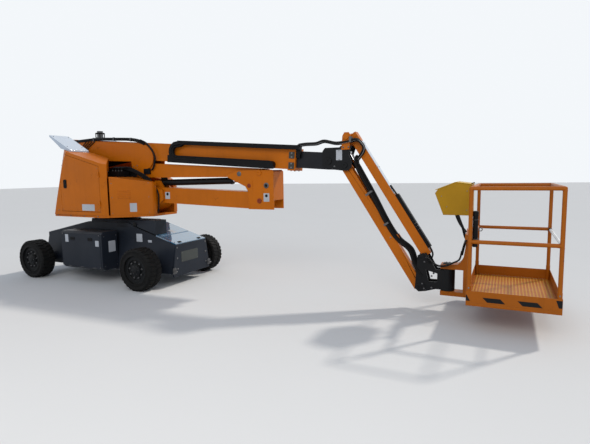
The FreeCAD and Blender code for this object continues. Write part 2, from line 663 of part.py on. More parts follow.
def make_elbow():
    y_in = RISER_LOW_W / 2 + SIDE_GAP
    y_out = y_in + ELBOW_PLATE
    x0, x1 = ELBOW_X
    z0, z1 = ELBOW_Z
    outline = [(x0 + 60, z0), (x1, z0), (x1, z1 - 20), (x1 - 20, z1)]
    outline += [(x0 + dx, z1 + dz) for dx, dz in ELBOW_NECK]
    plates = [prism_y(outline, *side_span(side, y_in, y_out)) for name, side in SIDES]
    end = box(x1 - ELBOW_PLATE, x1, -y_out, y_out, z0 + 110, z1 - 20)
    pins = [rod_y(*ELBOW_LOW_PIN, PIN_R, -y_out, y_out), rod_y(*ELBOW_HIGH_PIN, HIGH_PIN_R, -y_out, y_out)]
    save(fuse(*plates, end, *pins), "elbow")


def make_upper_riser():
    (ax, az), (bx, bz) = MAST_PIN, ELBOW_HIGH_PIN
    half_w = RISER_UP_W / 2
    rear = RISER_UP_REAR_R
    front = RISER_UP_FRONT_R
    # The beam is deep at the mast and low at the elbow, where the boom lies over it
    outline = [(ax, az - rear), (ax + 210, az - rear - 29), (bx, bz - front), (bx, bz + front),
               (ax + 110, az + rear), (ax, az + rear)]
    solid = prism_y(outline, -half_w, half_w)
    solid = solid.fuse(rod_y(ax, az, rear, -half_w, half_w)).fuse(rod_y(bx, bz, front, -half_w, half_w))
    wall = RISER_WALL
    hollow = [(ax + rear + 30, az - rear - 20 + wall), (ax + 230, az - rear - 29 + wall),
              (bx - front - 30, bz - front + wall), (bx - front - 30, bz + front - wall),
              (ax + rear + 30, az + rear - wall)]
    cavity = prism_y(hollow, -half_w + wall, half_w - wall)
    # The riser cylinder swings in the open bottom, and round a slim hub on the elbow's pin
    lug_in = RISER_CYL_R + EYE_SIDE
    slot_w = RISER_CYL_R + CYL_SLOT_GAP
    solid = solid.cut(cavity).cut(box(UP_SLOT_X, bx - front - 30, -slot_w, slot_w, 0, bz))
    swing = box(bx - front - 31, bx + front + 1, -lug_in, lug_in, bz - front - 1, bz + 12)
    solid = solid.cut(swing.cut(rod_y(bx, bz, HIGH_PIN_R + 6, -lug_in - 1, lug_in + 1)))
    ex, ez = RISER_CYL_EYE
    r = RISER_LUG_R
    lug = [(bx - 160, bz - front + 6), (ex - r, ez - r / 3), (ex - r / 3, ez - r), (ex + r / 3, ez - r),
           (ex + r, ez - r / 4), (bx + front - 4, bz), (bx - 40, bz)]
    for name, side in SIDES:
        solid = solid.fuse(prism_y(lug, *side_span(side, lug_in, lug_in + RISER_LUG_T)))
        lug_out = lug_in + RISER_LUG_T
        solid = solid.fuse(disc(ex, ez, RISER_EYE_PIN_R, side, lug_out - 1, lug_out + EYE_SIDE))
    solid = fuse(solid)
    solid = solid.cut(rod_y(ax, az, PIN_R + RUN_FIT, -half_w - 1, half_w + 1))
    save(solid.cut(rod_y(bx, bz, HIGH_PIN_R + RUN_FIT, -half_w - 1, half_w + 1)), "upper_riser")


def cylinder_parts(base, eye, bore_r, share, eye_half, pin_half, return_stroke=0.0):
    """A hydraulic cylinder between two points: the barrel with its eye, and the rod with its eye and pin."""
    angle = line_angle(base, eye)
    length = line_length(base, eye)
    direction = V(math.cos(math.radians(angle)), 0, math.sin(math.radians(angle)))
    origin = V(base[0], 0, base[1])
    gland = share * length
    rod_r = bore_r * ROD_SHARE
    barrel = Part.makeCylinder(bore_r, gland - bore_r / 2, origin + direction * (bore_r / 2), direction)
    barrel = barrel.fuse(rod_y(base[0], base[1], bore_r * 0.95, -eye_half, eye_half))
    bore = Part.makeCylinder(rod_r + RUN_FIT, gland, origin + direction * (bore_r + 22), direction)
    barrel = barrel.cut(bore)
    tail = bore_r + 30 + return_stroke
    rod = Part.makeCylinder(rod_r, length - tail, origin + direction * tail, direction)
    rod = rod.fuse(rod_y(eye[0], eye[1], bore_r * 0.8, -eye_half, eye_half))
    rod = rod.fuse(rod_y(eye[0], eye[1], bore_r * 0.45, -pin_half, pin_half))
    return barrel, rod


def make_riser_cylinder():
    barrel, rod = cylinder_parts(RISER_CYL_BASE, RISER_CYL_EYE, RISER_CYL_R, RISER_CYL_SHARE, RISER_CYL_R,
                                 RISER_CYL_R + EYE_SIDE / 2)
    barrel = barrel.cut(rod_y(RISER_CYL_BASE[0], RISER_CYL_BASE[1], LUG_PIN_R + RUN_FIT, -200, 200))
    save(barrel, "riser_cylinder")
    save(rod, "riser_rod")


# Mast and booms
def boom_bar(s0, s1, n0, n1, half_w):
    return bar(BOOM_PIN, -BOOM_SLOPE, s0, s1, n0, n1, half_w)


def make_mast():
    y_in = RISER_UP_W / 2 + SIDE_GAP
    y_out = y_in + MAST_PLATE
    top = [along(BOOM_PIN, -BOOM_SLOPE, s, BOOM_H / 2 - 12) for s in (-60, 1380)]
    outline = list(MAST_REAR) + top + list(MAST_FRONT)
    plates = [prism_y(outline, *side_span(side, y_in, y_out)) for name, side in SIDES]
    pins = []
    for (x, z), r in ((MAST_PIN, PIN_R), (BOOM_PIN, PIN_R), (BOOM_CYL_BASE, BOOM_BASE_PIN_R)):
        pins.append(rod_y(x, z, r, -y_out, y_out))
    save(fuse(*plates, *pins), "mast")


def make_boom():
    half = BOOM_W / 2
    low = -BOOM_H / 2
    high = BOOM_H / 2
    outer = boom_bar(-40, BOOM_FRONT, low, high, half)
    outer = outer.fuse(rod_y(BOOM_PIN[0], BOOM_PIN[1], BOOM_H / 2 - 25, -half, half))
    outer = outer.cut(boom_bar(BOOM_BOSS_L, BOOM_FRONT + 10, low + BOOM_WALL, high - BOOM_WALL,
                               half - BOOM_WALL))
    # The boom cylinder comes up through an open part of the bottom
    outer = outer.cut(boom_bar(BOOM_SLOT_S[0], BOOM_SLOT_S[1], low - 20, 0, BOOM_CYL_R + 10))
    for name, side in SIDES:
        outer = outer.fuse(disc(BOOM_CYL_EYE[0], BOOM_CYL_EYE[1], BOOM_EYE_BOSS_R, side, half - 1,
                                half + BOOM_EYE_BOSS_T))
    outer = outer.cut(rod_y(BOOM_PIN[0], BOOM_PIN[1], PIN_R + RUN_FIT, -half - 1, half + 1))
    pad_y = INNER_W / 2 + PAD_GAP
    pad_n = INNER_H / 2 + PAD_GAP
    pads = boom_bar(BOOM_FRONT - COLLAR_L, BOOM_FRONT, low + 1, high - 1, half - 1)
    pads = pads.cut(boom_bar(BOOM_FRONT - COLLAR_L - 1, BOOM_FRONT + 1, -pad_n, pad_n, pad_y))
    collar = boom_bar(BOOM_FRONT - COLLAR_L, BOOM_FRONT, low - 14, high + 6, half + 16)
    collar = collar.cut(boom_bar(BOOM_FRONT - COLLAR_L - 1, BOOM_FRONT + 1, low + BOOM_WALL,
                                 high - BOOM_WALL, half - BOOM_WALL))
    save(fuse(outer, collar, pads), "outer_boom")


def make_inner_boom():
    half = INNER_W / 2
    inner = boom_bar(INNER_REAR, KNUCKLE_S, -INNER_H / 2, INNER_H / 2, half)
    inner = inner.fuse(rod_y(KNUCKLE_PIVOT[0], KNUCKLE_PIVOT[1], KNUCKLE_END_R, -half, half))
    # Pads at its rear run on the outer boom's walls
    inner = inner.fuse(boom_bar(INNER_REAR, INNER_REAR + INNER_PAD, BOOM_WALL + PAD_GAP - BOOM_H / 2,
                                BOOM_H / 2 - BOOM_WALL - PAD_GAP, BOOM_W / 2 - BOOM_WALL - PAD_GAP))
    inner = inner.cut(boom_bar(INNER_REAR - 5, KNUCKLE_S - INNER_SOLID, -INNER_H / 2 + INNER_WALL,
                               INNER_H / 2 - INNER_WALL, half - INNER_WALL))
    inner = inner.cut(rod_y(*KNUCKLE_PIVOT, KNUCKLE_PIN_R + RUN_FIT, -half - 1, half + 1))
    save(inner, "inner_boom")


def make_boom_cylinder():
    barrel, rod = cylinder_parts(BOOM_CYL_BASE, BOOM_CYL_EYE, BOOM_CYL_R, BOOM_CYL_SHARE, BOOM_CYL_R,
                                 BOOM_CYL_R + EYE_SIDE)
    barrel = barrel.cut(rod_y(BOOM_CYL_BASE[0], BOOM_CYL_BASE[1], BOOM_BASE_PIN_R + RUN_FIT, -200, 200))
    save(barrel, "boom_cylinder")
    save(rod, "boom_rod")


def bar_at(s0, s1, n0, n1, y0, y1):
    """A straight piece along the boom's line, from y0 to y1."""
    outline = [along(BOOM_PIN, -BOOM_SLOPE, s, n) for s, n in ((s0, n0), (s1, n0), (s1, n1), (s0, n1))]
    return prism_y(outline, y0, y1)


def make_chain_tray():
    """The fixed tray that the hose chain's lower run lies in, open at the top and at the rear."""
    y0 = -TRAY_OUT_Y
    y1 = -BOOM_W / 2 - FIT
    low, high = TRAY_N
    s0, s1 = TRAY_S
    r = (high - low) / 2
    tray = bar_at(s0, s1 - r, low, high, y0, y1)
    end = along(BOOM_PIN, -BOOM_SLOPE, s1 - r, low + r)
    tray = tray.fuse(rod_y(end[0], end[1], r, y0, y1))
    tray = tray.cut(bar_at(s0 - 5, s1 - 2 * r, low + TRAY_WALL, high + 5, y0 + TRAY_WALL, y1 - TRAY_WALL))
    save(tray.removeSplitter(), "chain_tray")


def make_chain_moving():
    """The chain's bend with the runs next to it, and the channel round the upper run."""
    y0 = -CHAIN_Y[1]
    y1 = -CHAIN_Y[0]
    low, high = CHAIN_N
    r = (high - low) / 2
    centre = along(BOOM_PIN, -BOOM_SLOPE, CHAIN_BEND_S, low + r)
    ring = rod_y(*centre, r, y0, y1).cut(rod_y(*centre, r - CHAIN_T, y0 - 1, y1 + 1))
    ring = ring.cut(bar_at(CHAIN_BEND_S, CHAIN_BEND_S + 2 * r, low - 50, high + 50, y0 - 2, y1 + 2))
    upper = bar_at(CHAIN_BEND_S, CHAIN_BEND_S + EXTENSION / 2 + CHAIN_UP_SPARE, high - CHAIN_T, high, y0, y1)
    lower = bar_at(CHAIN_BEND_S, CHAIN_BEND_S + CHAIN_LOW_RUN, low, low + CHAIN_T, y0, y1)
    save(fuse(ring, upper, lower), "chain_bend")
    # The channel is open to the boom and at its rear, and an arm in front of the collar carries it
    s0 = CHAIN_BEND_S + 15
    in_low = high - CHAIN_T - CHAIN_REST
    in_high = high + CHAIN_GAP
    wall = CHANNEL_WALL
    channel = bar_at(s0, CHANNEL_FRONT_S, in_low - wall, in_high + wall, y0 - CHAIN_GAP - wall, y1 + 2)
    hollow = bar_at(s0 - 5, CHANNEL_ARM_S - 10, in_low, in_high, y0 - CHAIN_GAP, y1 + 5)
    arm = bar_at(CHANNEL_ARM_S, CHANNEL_FRONT_S, INNER_H / 2 - CHANNEL_ARM_H, in_high + wall, y1 - 2,
                 -INNER_W / 2 - FIT)
    save(fuse(channel.cut(hollow), arm), "chain_channel")


def make_jib_knuckle():
    y_in = INNER_W / 2 + SIDE_GAP
    y_out = y_in + KNUCKLE_PLATE
    px, pz = KNUCKLE_PIVOT
    lx, lz = JIB_LOW_PIN
    outline = [(px - 70, pz - 60), (px + 60, pz - 95)] + [(lx + dx, lz + dz) for dx, dz in KNUCKLE_FRONT]
    outline += [(px - 40, pz + 147), (px - 70, pz + 110)]
    plates = [prism_y(outline, *side_span(side, y_in, y_out)) for name, side in SIDES]
    lug_in = JIB_CYL_EYE_HALF + 3
    lug_out = JIB_ARM_W / 2 - JIB_WALL - 4
    pins = [rod_y(px, pz, KNUCKLE_PIN_R, -y_out, y_out), rod_y(*JIB_LOW_PIN, JIB_PIN_R, -y_out, y_out)]
    web_x = px + KNUCKLE_END_R + SIDE_GAP
    web = box(web_x, web_x + KNUCKLE_WEB, -y_in - 2, y_in + 2, pz - 80, pz + 120)
    ex, ez = JIB_CYL_EYE
    lug = [(web_x + 5, ez - 62), (ex, ez - 26), (ex + 22, ez - 12), (ex + 22, ez + 12), (ex, ez + 26),
           (web_x + 5, ez + 26)]
    lugs = [prism_y(lug, *side_span(side, lug_in, lug_out)) for name, side in SIDES]
    save(fuse(*plates, *pins, web, *lugs), "jib_knuckle")
    x, z = JIB_UP_PIN
    low = z - EAR_H
    ear = [(x - 55, low), (x + 40, low), (x + 52, z + 10), (x + 30, z + 46), (x - 20, z + 46),
           (x - 42, z + 10)]
    ears = [prism_y(ear, *side_span(side, y_out + FIT, y_out + KNUCKLE_PLATE)) for name, side in SIDES]
    pin = rod_y(x, z, JIB_PIN_R, -y_out - KNUCKLE_PLATE, y_out + KNUCKLE_PLATE)
    save(fuse(*ears, pin), "jib_ears")


def jib_cylinder_foot():
    return along(JIB_LOW_PIN, JIB_ANGLE, JIB_CYL_ALONG, JIB_CYL_OFF)


def make_jib_arms():
    half = JIB_ARM_W / 2
    inside = half - JIB_WALL
    for pin, (low, high), boss, name in ((JIB_LOW_PIN, JIB_LOW_N, JIB_BOSS_R, "jib_lower_arm"),
                                         (JIB_UP_PIN, JIB_UP_N, JIB_UP_BOSS_R, "jib_upper_arm")):
        end = along(pin, JIB_ANGLE, JIB_LEN)
        arm = bar(pin, JIB_ANGLE, 0, JIB_LEN, low, high, half)
        arm = arm.fuse(rod_y(pin[0], pin[1], boss, -half, half))
        arm = arm.fuse(rod_y(end[0], end[1], boss, -half, half))
        s0 = JIB_BOSS_R + 10
        s1 = JIB_LEN - JIB_BOSS_R - 40
        if name == "jib_lower_arm":
            # An open trough takes the cylinder, and a closed box runs on from its foot
            trough_end = JIB_CYL_ALONG + 40
            arm = arm.cut(bar(pin, JIB_ANGLE, s0, trough_end, low + JIB_WALL, high + 60, inside))
            arm = arm.cut(bar(pin, JIB_ANGLE, trough_end + 20, s1, low + JIB_WALL, high - JIB_WALL, inside))
            foot = jib_cylinder_foot()
            shape = ((-70, high - 50), (70, high - 50), (34, JIB_CYL_OFF + 34), (-34, JIB_CYL_OFF + 34))
            outline = [along(pin, JIB_ANGLE, JIB_CYL_ALONG + a, n) for a, n in shape]
            lugs = [prism_y(outline, *side_span(side, JIB_CYL_R + 2, half)) for side_name, side in SIDES]
            arm = arm.multiFuse(lugs + [rod_y(foot[0], foot[1], JIB_CYL_PIN_R, -half, half)])
            # The rod passes over a slim hub on the lower pin
            gap_w = JIB_CYL_EYE_HALF + 4
            over = bar(pin, JIB_ANGLE, -boss - 1, s0 + 1, 0, high + 60, gap_w)
            arm = arm.cut(over.cut(rod_y(pin[0], pin[1], JIB_PIN_R + 8, -gap_w - 1, gap_w + 1)))
        else:
            arm = arm.cut(bar(pin, JIB_ANGLE, s0, s1, low + JIB_WALL, high - JIB_WALL, inside))
        for x, z in (pin, end):
            arm = arm.cut(rod_y(x, z, JIB_PIN_R + RUN_FIT, -half - 1, half + 1))
        save(arm.removeSplitter(), name)


def make_jib_cylinder():
    foot = jib_cylinder_foot()
    barrel, rod = cylinder_parts(foot, JIB_CYL_EYE, JIB_CYL_R, JIB_CYL_SHARE, JIB_CYL_EYE_HALF,
                                 JIB_CYL_EYE_HALF + 1, JIB_CYL_RETURN)
    barrel = barrel.cut(rod_y(foot[0], foot[1], JIB_CYL_PIN_R + RUN_FIT, -100, 100))
    save(barrel, "jib_cylinder")
    save(rod, "jib_rod")


def make_platform_bracket():
    y_in = JIB_ARM_W / 2 + SIDE_GAP
    y_out = y_in + KNUCKLE_PLATE
    low, up = JIB_LOW_END, JIB_UP_END
    z0, z1 = ROTATOR_Z
    # Near the rotator the plates stay between the two arms that turn round it
    near_x = ROTATOR_X - 110
    outline = [(low[0] - 50, low[1] - 20), (low[0] - 10, low[1] - 52), (low[0] + 60, low[1] - 40),
               (near_x, z0 + 10), (ROTATOR_X, z0 + 10), (ROTATOR_X, z1 - 10), (near_x, z1 - 10),
               (up[0] + 60, up[1] + 30), (up[0] + 10, up[1] + 52), (up[0] - 45, up[1] + 25)]
    window_x = ROTATOR_X - 95
    window = [(low[0] + 90, z0 + 85), (window_x, z0 + 85), (window_x, z1 - 50), (low[0] + 60, z1 - 20)]
    plates = []
    for name, side in SIDES:
        y0, y1 = side_span(side, y_in, y_out)
        plates.append(prism_y(outline, y0, y1).cut(prism_y(window, y0 - 1, y1 + 1)))
    pins = [rod_y(x, z, JIB_PIN_R, -y_out, y_out) for x, z in (low, up)]
    core = rod_z(ROTATOR_X, 0, ROTATOR_R, z0, z1)
    axle = rod_z(ROTATOR_X, 0, ROTATOR_PIN_R, z0 - ARM_T - 6, z1 + ARM_T + 6)
    save(fuse(*plates, *pins, core, axle), "platform_bracket")


def make_platform_mount():
    z0, z1 = ROTATOR_Z
    x1 = PLATFORM_X - EDGE_OUT - FIT
    half = MOUNT_HALF_W
    top_z = z1 + ARM_GAP
    low_z = z0 - ARM_GAP
    foot_z = low_z - ARM_T
    top = box(ROTATOR_X - half, x1 - 60, -half, half, top_z, top_z + ARM_T)
    low = box(ROTATOR_X - half, x1 - 60, -half, half, foot_z, low_z)
    cross_z = MID_RAIL_Z + MOUNT_CROSS_H
    neck = [(x1 - dx, top_z + dz) for dx, dz in MOUNT_NECK]
    outline = [(x1 - 70, foot_z), (x1, foot_z), (x1, cross_z), (neck[0][0], cross_z)] + neck
    outline += [(neck[-1][0], top_z + ARM_T - 1), (x1 - 110, top_z), (x1 - 70, top_z)]
    column = prism_y(outline, -half, half)
    rail_back = PLATFORM_X - RAIL_R - FIT
    cross = box(x1 - 40, rail_back, -MOUNT_CROSS_HALF, MOUNT_CROSS_HALF, MID_RAIL_Z - MOUNT_CROSS_H, cross_z)
    mount = fuse(top, low, column, cross)
    bore = rod_z(ROTATOR_X, 0, ROTATOR_PIN_R + RUN_FIT, foot_z - 1, top_z + ARM_T + 1)
    save(mount.cut(bore), "platform_mount")


def make_platform():
    x0, x1 = PLATFORM_X, PLATFORM_X + PLATFORM_L
    half = PLATFORM_W / 2
    out_y = half + EDGE_OUT
    floor = box(x0 - EDGE_OUT, x1 + EDGE_OUT, -out_y, out_y, FLOOR_Z - FLOOR_T, FLOOR_Z)
    edge = DECK_EDGE
    deck = box(x0 + edge, x1 - edge, -half + edge, half - edge, FLOOR_Z - 1, FLOOR_Z + DECK_T)
    save(fuse(floor, deck), "platform_floor")
    toe = box(x0 - EDGE_OUT, x1 + EDGE_OUT, -out_y, out_y, FLOOR_Z + FIT, TOE_TOP)
    in_y = out_y - TOE_T
    inner = box(x0 - EDGE_OUT + TOE_T, x1 + EDGE_OUT - TOE_T, -in_y, in_y, FLOOR_Z, TOE_TOP + 1)
    save(toe.cut(inner), "toe_boards")
    corners = [(x, y) for x in (x0, x1) for y in (-half, half)]
    tubes = [rod_z(x, y, RAIL_R, FLOOR_Z + FIT, RAIL_Z) for x, y in corners]
    tubes += [Part.makeSphere(RAIL_R, V(x, y, RAIL_Z)) for x, y in corners]
    for z in (RAIL_Z, MID_RAIL_Z):
        for a, b in (((x0, -half), (x1, -half)), ((x0, half), (x1, half)), ((x0, -half), (x0, half))):
            tubes.append(tube_between((a[0], a[1], z), (b[0], b[1], z), RAIL_R))
    tubes.append(tube_between((x1, -half, RAIL_Z), (x1, half, RAIL_Z), RAIL_R))
    save(fuse(*tubes), "guard_rails")
    bar_y = half - RAIL_R - FIT
    save(tube_between((x1, -bar_y, MID_RAIL_Z), (x1, bar_y, MID_RAIL_Z), ENTRY_R), "entry_bar")


def make_console():
    x1 = PLATFORM_X - RAIL_R - FIT
    outline = [(x1 + dx, RAIL_Z + dz) for dx, dz in CONSOLE_OUTLINE]
    save(prism_y(outline, *CONSOLE_Y), "control_console")


def make_beacon():
    """A dome on a bracket outside the mast's left plate, clear of the boom."""
    x, y = BEACON_AT
    plate_y = RISER_UP_W / 2 + SIDE_GAP + MAST_PLATE
    bracket = box(x - 30, x + 30, plate_y + FIT, plate_y + 8, BEACON_Z - 150, BEACON_Z)
    shelf = box(x - 40, x + 40, plate_y + FIT, y + 30, BEACON_Z - 8, BEACON_Z)
    base = rod_z(x, y, BEACON_R, BEACON_Z, BEACON_Z + 30)
    dome = rod_z(x, y, BEACON_R - 8, BEACON_Z + 30, BEACON_Z + 120)
    save(fuse(bracket, shelf, base, dome), "beacon")


for make in (make_chassis, make_side_boxes, make_housing, make_pedestal, make_lid, make_wheels, make_knuckles,
             make_turret_base, make_hoods, make_covers, make_lower_riser, make_elbow, make_upper_riser,
             make_riser_cylinder, make_mast, make_boom, make_inner_boom, make_boom_cylinder, make_chain_tray,
             make_chain_moving, make_jib_knuckle, make_jib_arms, make_jib_cylinder, make_platform_bracket,
             make_platform_mount, make_platform, make_console, make_beacon):
    make()
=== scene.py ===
import math
import random
from itertools import product

import bmesh
import bpy
from mathutils import Matrix, Vector
from mathutils.bvhtree import BVHTree


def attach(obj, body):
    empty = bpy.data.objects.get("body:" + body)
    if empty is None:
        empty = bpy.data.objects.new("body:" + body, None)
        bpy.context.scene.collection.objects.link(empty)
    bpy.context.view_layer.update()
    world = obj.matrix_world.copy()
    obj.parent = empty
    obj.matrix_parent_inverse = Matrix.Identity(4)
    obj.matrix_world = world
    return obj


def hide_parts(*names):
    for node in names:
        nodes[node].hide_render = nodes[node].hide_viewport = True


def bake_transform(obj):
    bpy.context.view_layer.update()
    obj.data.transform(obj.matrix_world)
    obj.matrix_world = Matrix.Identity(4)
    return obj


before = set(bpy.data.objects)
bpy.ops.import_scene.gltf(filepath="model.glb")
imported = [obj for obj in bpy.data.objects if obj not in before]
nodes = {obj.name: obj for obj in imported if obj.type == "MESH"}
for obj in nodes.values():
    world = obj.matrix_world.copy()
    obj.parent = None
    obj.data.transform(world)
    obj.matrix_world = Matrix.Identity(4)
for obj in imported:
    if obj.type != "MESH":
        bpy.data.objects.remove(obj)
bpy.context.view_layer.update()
rng = random.Random(7)
scene = bpy.context.scene
SIDES = (("left", 1), ("right", -1))
BOTH = (1, -1)

# Materials


class Tree:
    """A short way to write node trees."""

    def __init__(self, tree):
        self.tree = tree
        tree.nodes.clear()

    def put(self, socket, value):
        if isinstance(value, bpy.types.NodeSocket):
            self.tree.links.new(value, socket)
        elif isinstance(value, tuple) and socket.type == "RGBA":
            socket.default_value = (*value, 1)
        else:
            socket.default_value = value

    def add(self, kind, inputs=(), **settings):
        """A new node with its settings, and its inputs by number or name."""
        n = self.tree.nodes.new("ShaderNode" + kind)
        for key, value in settings.items():
            setattr(n, key, value)
        for key, value in dict(inputs).items():
            self.put(n.inputs[key], value)
        return n

    def math(self, op, a, b=0.5, clamp=False):
        return self.add("Math", {0: a, 1: b}, operation=op, use_clamp=clamp).outputs[0]


class Graph(Tree):
    """The node tree of a new material."""

    def __init__(self, name):
        self.mat = bpy.data.materials.new(name)
        self.mat.use_nodes = True
        super().__init__(self.mat.node_tree)
        self.bsdf = self.add("BsdfPrincipled")
        self.add("OutputMaterial", {0: self.bsdf.outputs[0]})
        self.coord = self.add("TexCoord").outputs["Object"]

    def noise(self, scale, detail=3.0, rough=0.55, stretch=None):
        place = self.add("Mapping", {0: self.coord, "Scale": stretch}).outputs[0] if stretch else self.coord
        values = {"Vector": place, "Scale": scale, "Detail": detail, "Roughness": rough}
        return self.add("TexNoise", values).outputs["Fac"]

    def cells(self, scale):
        return self.add("TexVoronoi", {"Vector": self.coord, "Scale": scale}).outputs["Distance"]

    def ramp(self, value, *stops):
        """Grey from 0 to 1 between the stops, which are pairs of place and grey."""
        n = self.add("ValToRGB", {0: value})
        for element, (place, grey) in zip(n.color_ramp.elements, stops):
            element.position = place
            element.color = (grey, grey, grey, 1)
        return n.outputs[0]

    def mix(self, fac, a, b):
        return self.add("Mix", {"Factor": fac, 6: a, 7: b}, data_type="RGBA").outputs[2]

    def up(self):
        """How much the surface faces up, 0 to 1."""
        parts = self.add("SeparateXYZ", {0: self.add("NewGeometry").outputs["Normal"]})
        return self.math("MAXIMUM", parts.outputs[2], 0.0)

    def bump(self, height, strength, distance, normal=None):
        n = self.add("Bump", {"Strength": strength, "Distance": distance, "Height": height})
        if normal is not None:
            self.put(n.inputs["Normal"], normal)
        return n.outputs[0]

    def finish(self, color, roughness, normal, metallic=0.0, coat=0.0, coat_rough=0.1):
        values = {"Base Color": color, "Roughness": roughness, "Normal": normal, "Metallic": metallic,
                  "Coat Weight": coat, "Coat Roughness": coat_rough,
                  "Specular IOR Level": SHINY if metallic or coat > 0.7 else DULL,
                  "Coat IOR": MIRROR_IOR if coat > 0.95 else COAT_IOR}
        for key, value in values.items():
            self.put(self.bsdf.inputs[key], value)
        return self.mat


DUST = (0.33, 0.27, 0.20)
SHINY, DULL = 0.5, 0.14
MIRROR_IOR, COAT_IOR = 2.3, 1.5


def shade(col, k):
    return tuple(min(1.0, c * k) for c in col)


def mottle(g, col, noise, low, high, dark, pale):
    """Darker and paler patches of a colour."""
    return g.mix(g.ramp(noise, (low, 0.0), (high, 1.0)), shade(col, dark), shade(col, pale))


def uneven(g, noise, spread, rough, clamp=False):
    """A roughness that varies."""
    return g.math("ADD", g.math("MULTIPLY", noise, spread), rough, clamp)


def paint(name, col, rough=0.34, coat=0.25, dust=0.35, fade=0.12, grime=0.5, coat_rough=0.18):
    """Sprayed paint: faded patches, dust on what faces up, runs of dirt, fine orange peel and small chips."""
    g = Graph(name)
    base = mottle(g, col, g.noise(1.7, 4, 0.6), 0.30, 0.72, 1 - fade, 1 + fade)
    runs = g.ramp(g.noise(5.5, 5, 0.65, (3.2, 3.2, 0.28)), (0.50, 0.0), (0.78, 1.0))
    base = g.mix(g.math("MULTIPLY", runs, 0.32 * grime), base, shade(col, 0.45))
    fine = g.ramp(g.noise(46, 5, 0.7), (0.56, 0.0), (0.76, 1.0))
    base = g.mix(g.math("MULTIPLY", fine, 0.22 * grime), base, shade(col, 0.6))
    settle = g.ramp(g.noise(7.5, 5, 0.62), (0.34, 0.25), (0.72, 1.0))
    lie = g.math("MULTIPLY", g.math("POWER", g.up(), 2.0), settle)
    film = g.math("MULTIPLY", g.ramp(g.noise(3.1, 3, 0.6), (0.42, 0.0), (0.8, 1.0)), 0.22)
    amount = g.math("MULTIPLY", g.math("ADD", lie, film, True), dust, True)
    base = g.mix(amount, base, DUST)
    chips = g.ramp(g.math("MULTIPLY", g.noise(88, 3, 0.5), g.noise(6.3, 2, 0.5)), (0.41, 0.0), (0.44, 1.0))
    base = g.mix(g.math("MULTIPLY", chips, 0.55), base, shade(col, 0.28))
    r = uneven(g, g.noise(11, 4, 0.6), 0.22, rough - 0.11)
    r = g.math("ADD", r, g.math("MULTIPLY", amount, 0.35), True)
    peel = g.bump(g.noise(210, 2, 0.5), 0.10, 0.0006)
    return g.finish(base, r, g.bump(g.noise(3.4, 2, 0.4), 0.06, 0.004, peel), 0.0, coat, coat_rough)


def plastic(name, col, rough=0.45, grain=520.0, dust=0.3, fade=0.08, coat=0.0):
    """Moulded plastic: a fine grain, dust and slightly paler worn patches."""
    g = Graph(name)
    base = mottle(g, col, g.noise(4.2, 4, 0.6), 0.3, 0.75, 1 - fade, 1 + fade)
    settle = g.ramp(g.noise(12, 4, 0.6), (0.35, 0.2), (0.7, 1.0))
    lie = g.math("MULTIPLY", g.math("POWER", g.up(), 2.0), settle)
    amount = g.math("MULTIPLY", lie, dust, True)
    base = g.mix(amount, base, DUST)
    scuff = g.ramp(g.noise(30, 6, 0.75, (1.0, 5.0, 1.0)), (0.62, 0.0), (0.72, 1.0))
    base = g.mix(g.math("MULTIPLY", scuff, 0.16), base, shade(tuple(c + 0.08 for c in col), 1.6))
    r = uneven(g, g.noise(16, 3, 0.6), 0.18, rough - 0.06)
    r = g.math("ADD", r, g.math("MULTIPLY", amount, 0.3), True)
    return g.finish(base, r, g.bump(g.noise(grain, 2, 0.5), 0.22, 0.0005), 0.0, coat, 0.12)


def metal(name, col, rough=0.35, stain=0.4):
    """Bare metal with rust stains and fine scratches."""
    g = Graph(name)
    base = mottle(g, col, g.noise(9, 5, 0.65), 0.32, 0.75, 0.78, 1.12)
    rust = g.ramp(g.noise(23, 6, 0.7), (0.60, 0.0), (0.74, 1.0))
    base = g.mix(g.math("MULTIPLY", rust, stain), base, (0.16, 0.085, 0.045))
    r = uneven(g, g.noise(34, 4, 0.6), 0.22, rough - 0.08, True)
    return g.finish(base, r, g.bump(g.noise(60, 3, 0.6, (1.0, 14.0, 14.0)), 0.12, 0.0004), 1.0)


def rubber(name, col, dust=0.45, rough=0.72):
    """Rubber with a film of dust and a pitted skin."""
    g = Graph(name)
    base = mottle(g, col, g.noise(6, 5, 0.65), 0.3, 0.75, 0.75, 1.35)
    film = g.ramp(g.noise(18, 6, 0.7), (0.42, 0.0), (0.72, 1.0))
    base = g.mix(g.math("MULTIPLY", film, dust, True), base, (0.12, 0.105, 0.085))
    r = uneven(g, g.noise(40, 4, 0.6), 0.2, rough - 0.1, True)
    pits = g.bump(g.cells(160), 0.16, 0.0006)
    return g.finish(base, r, g.bump(g.noise(70, 4, 0.6), 0.22, 0.0012, pits))


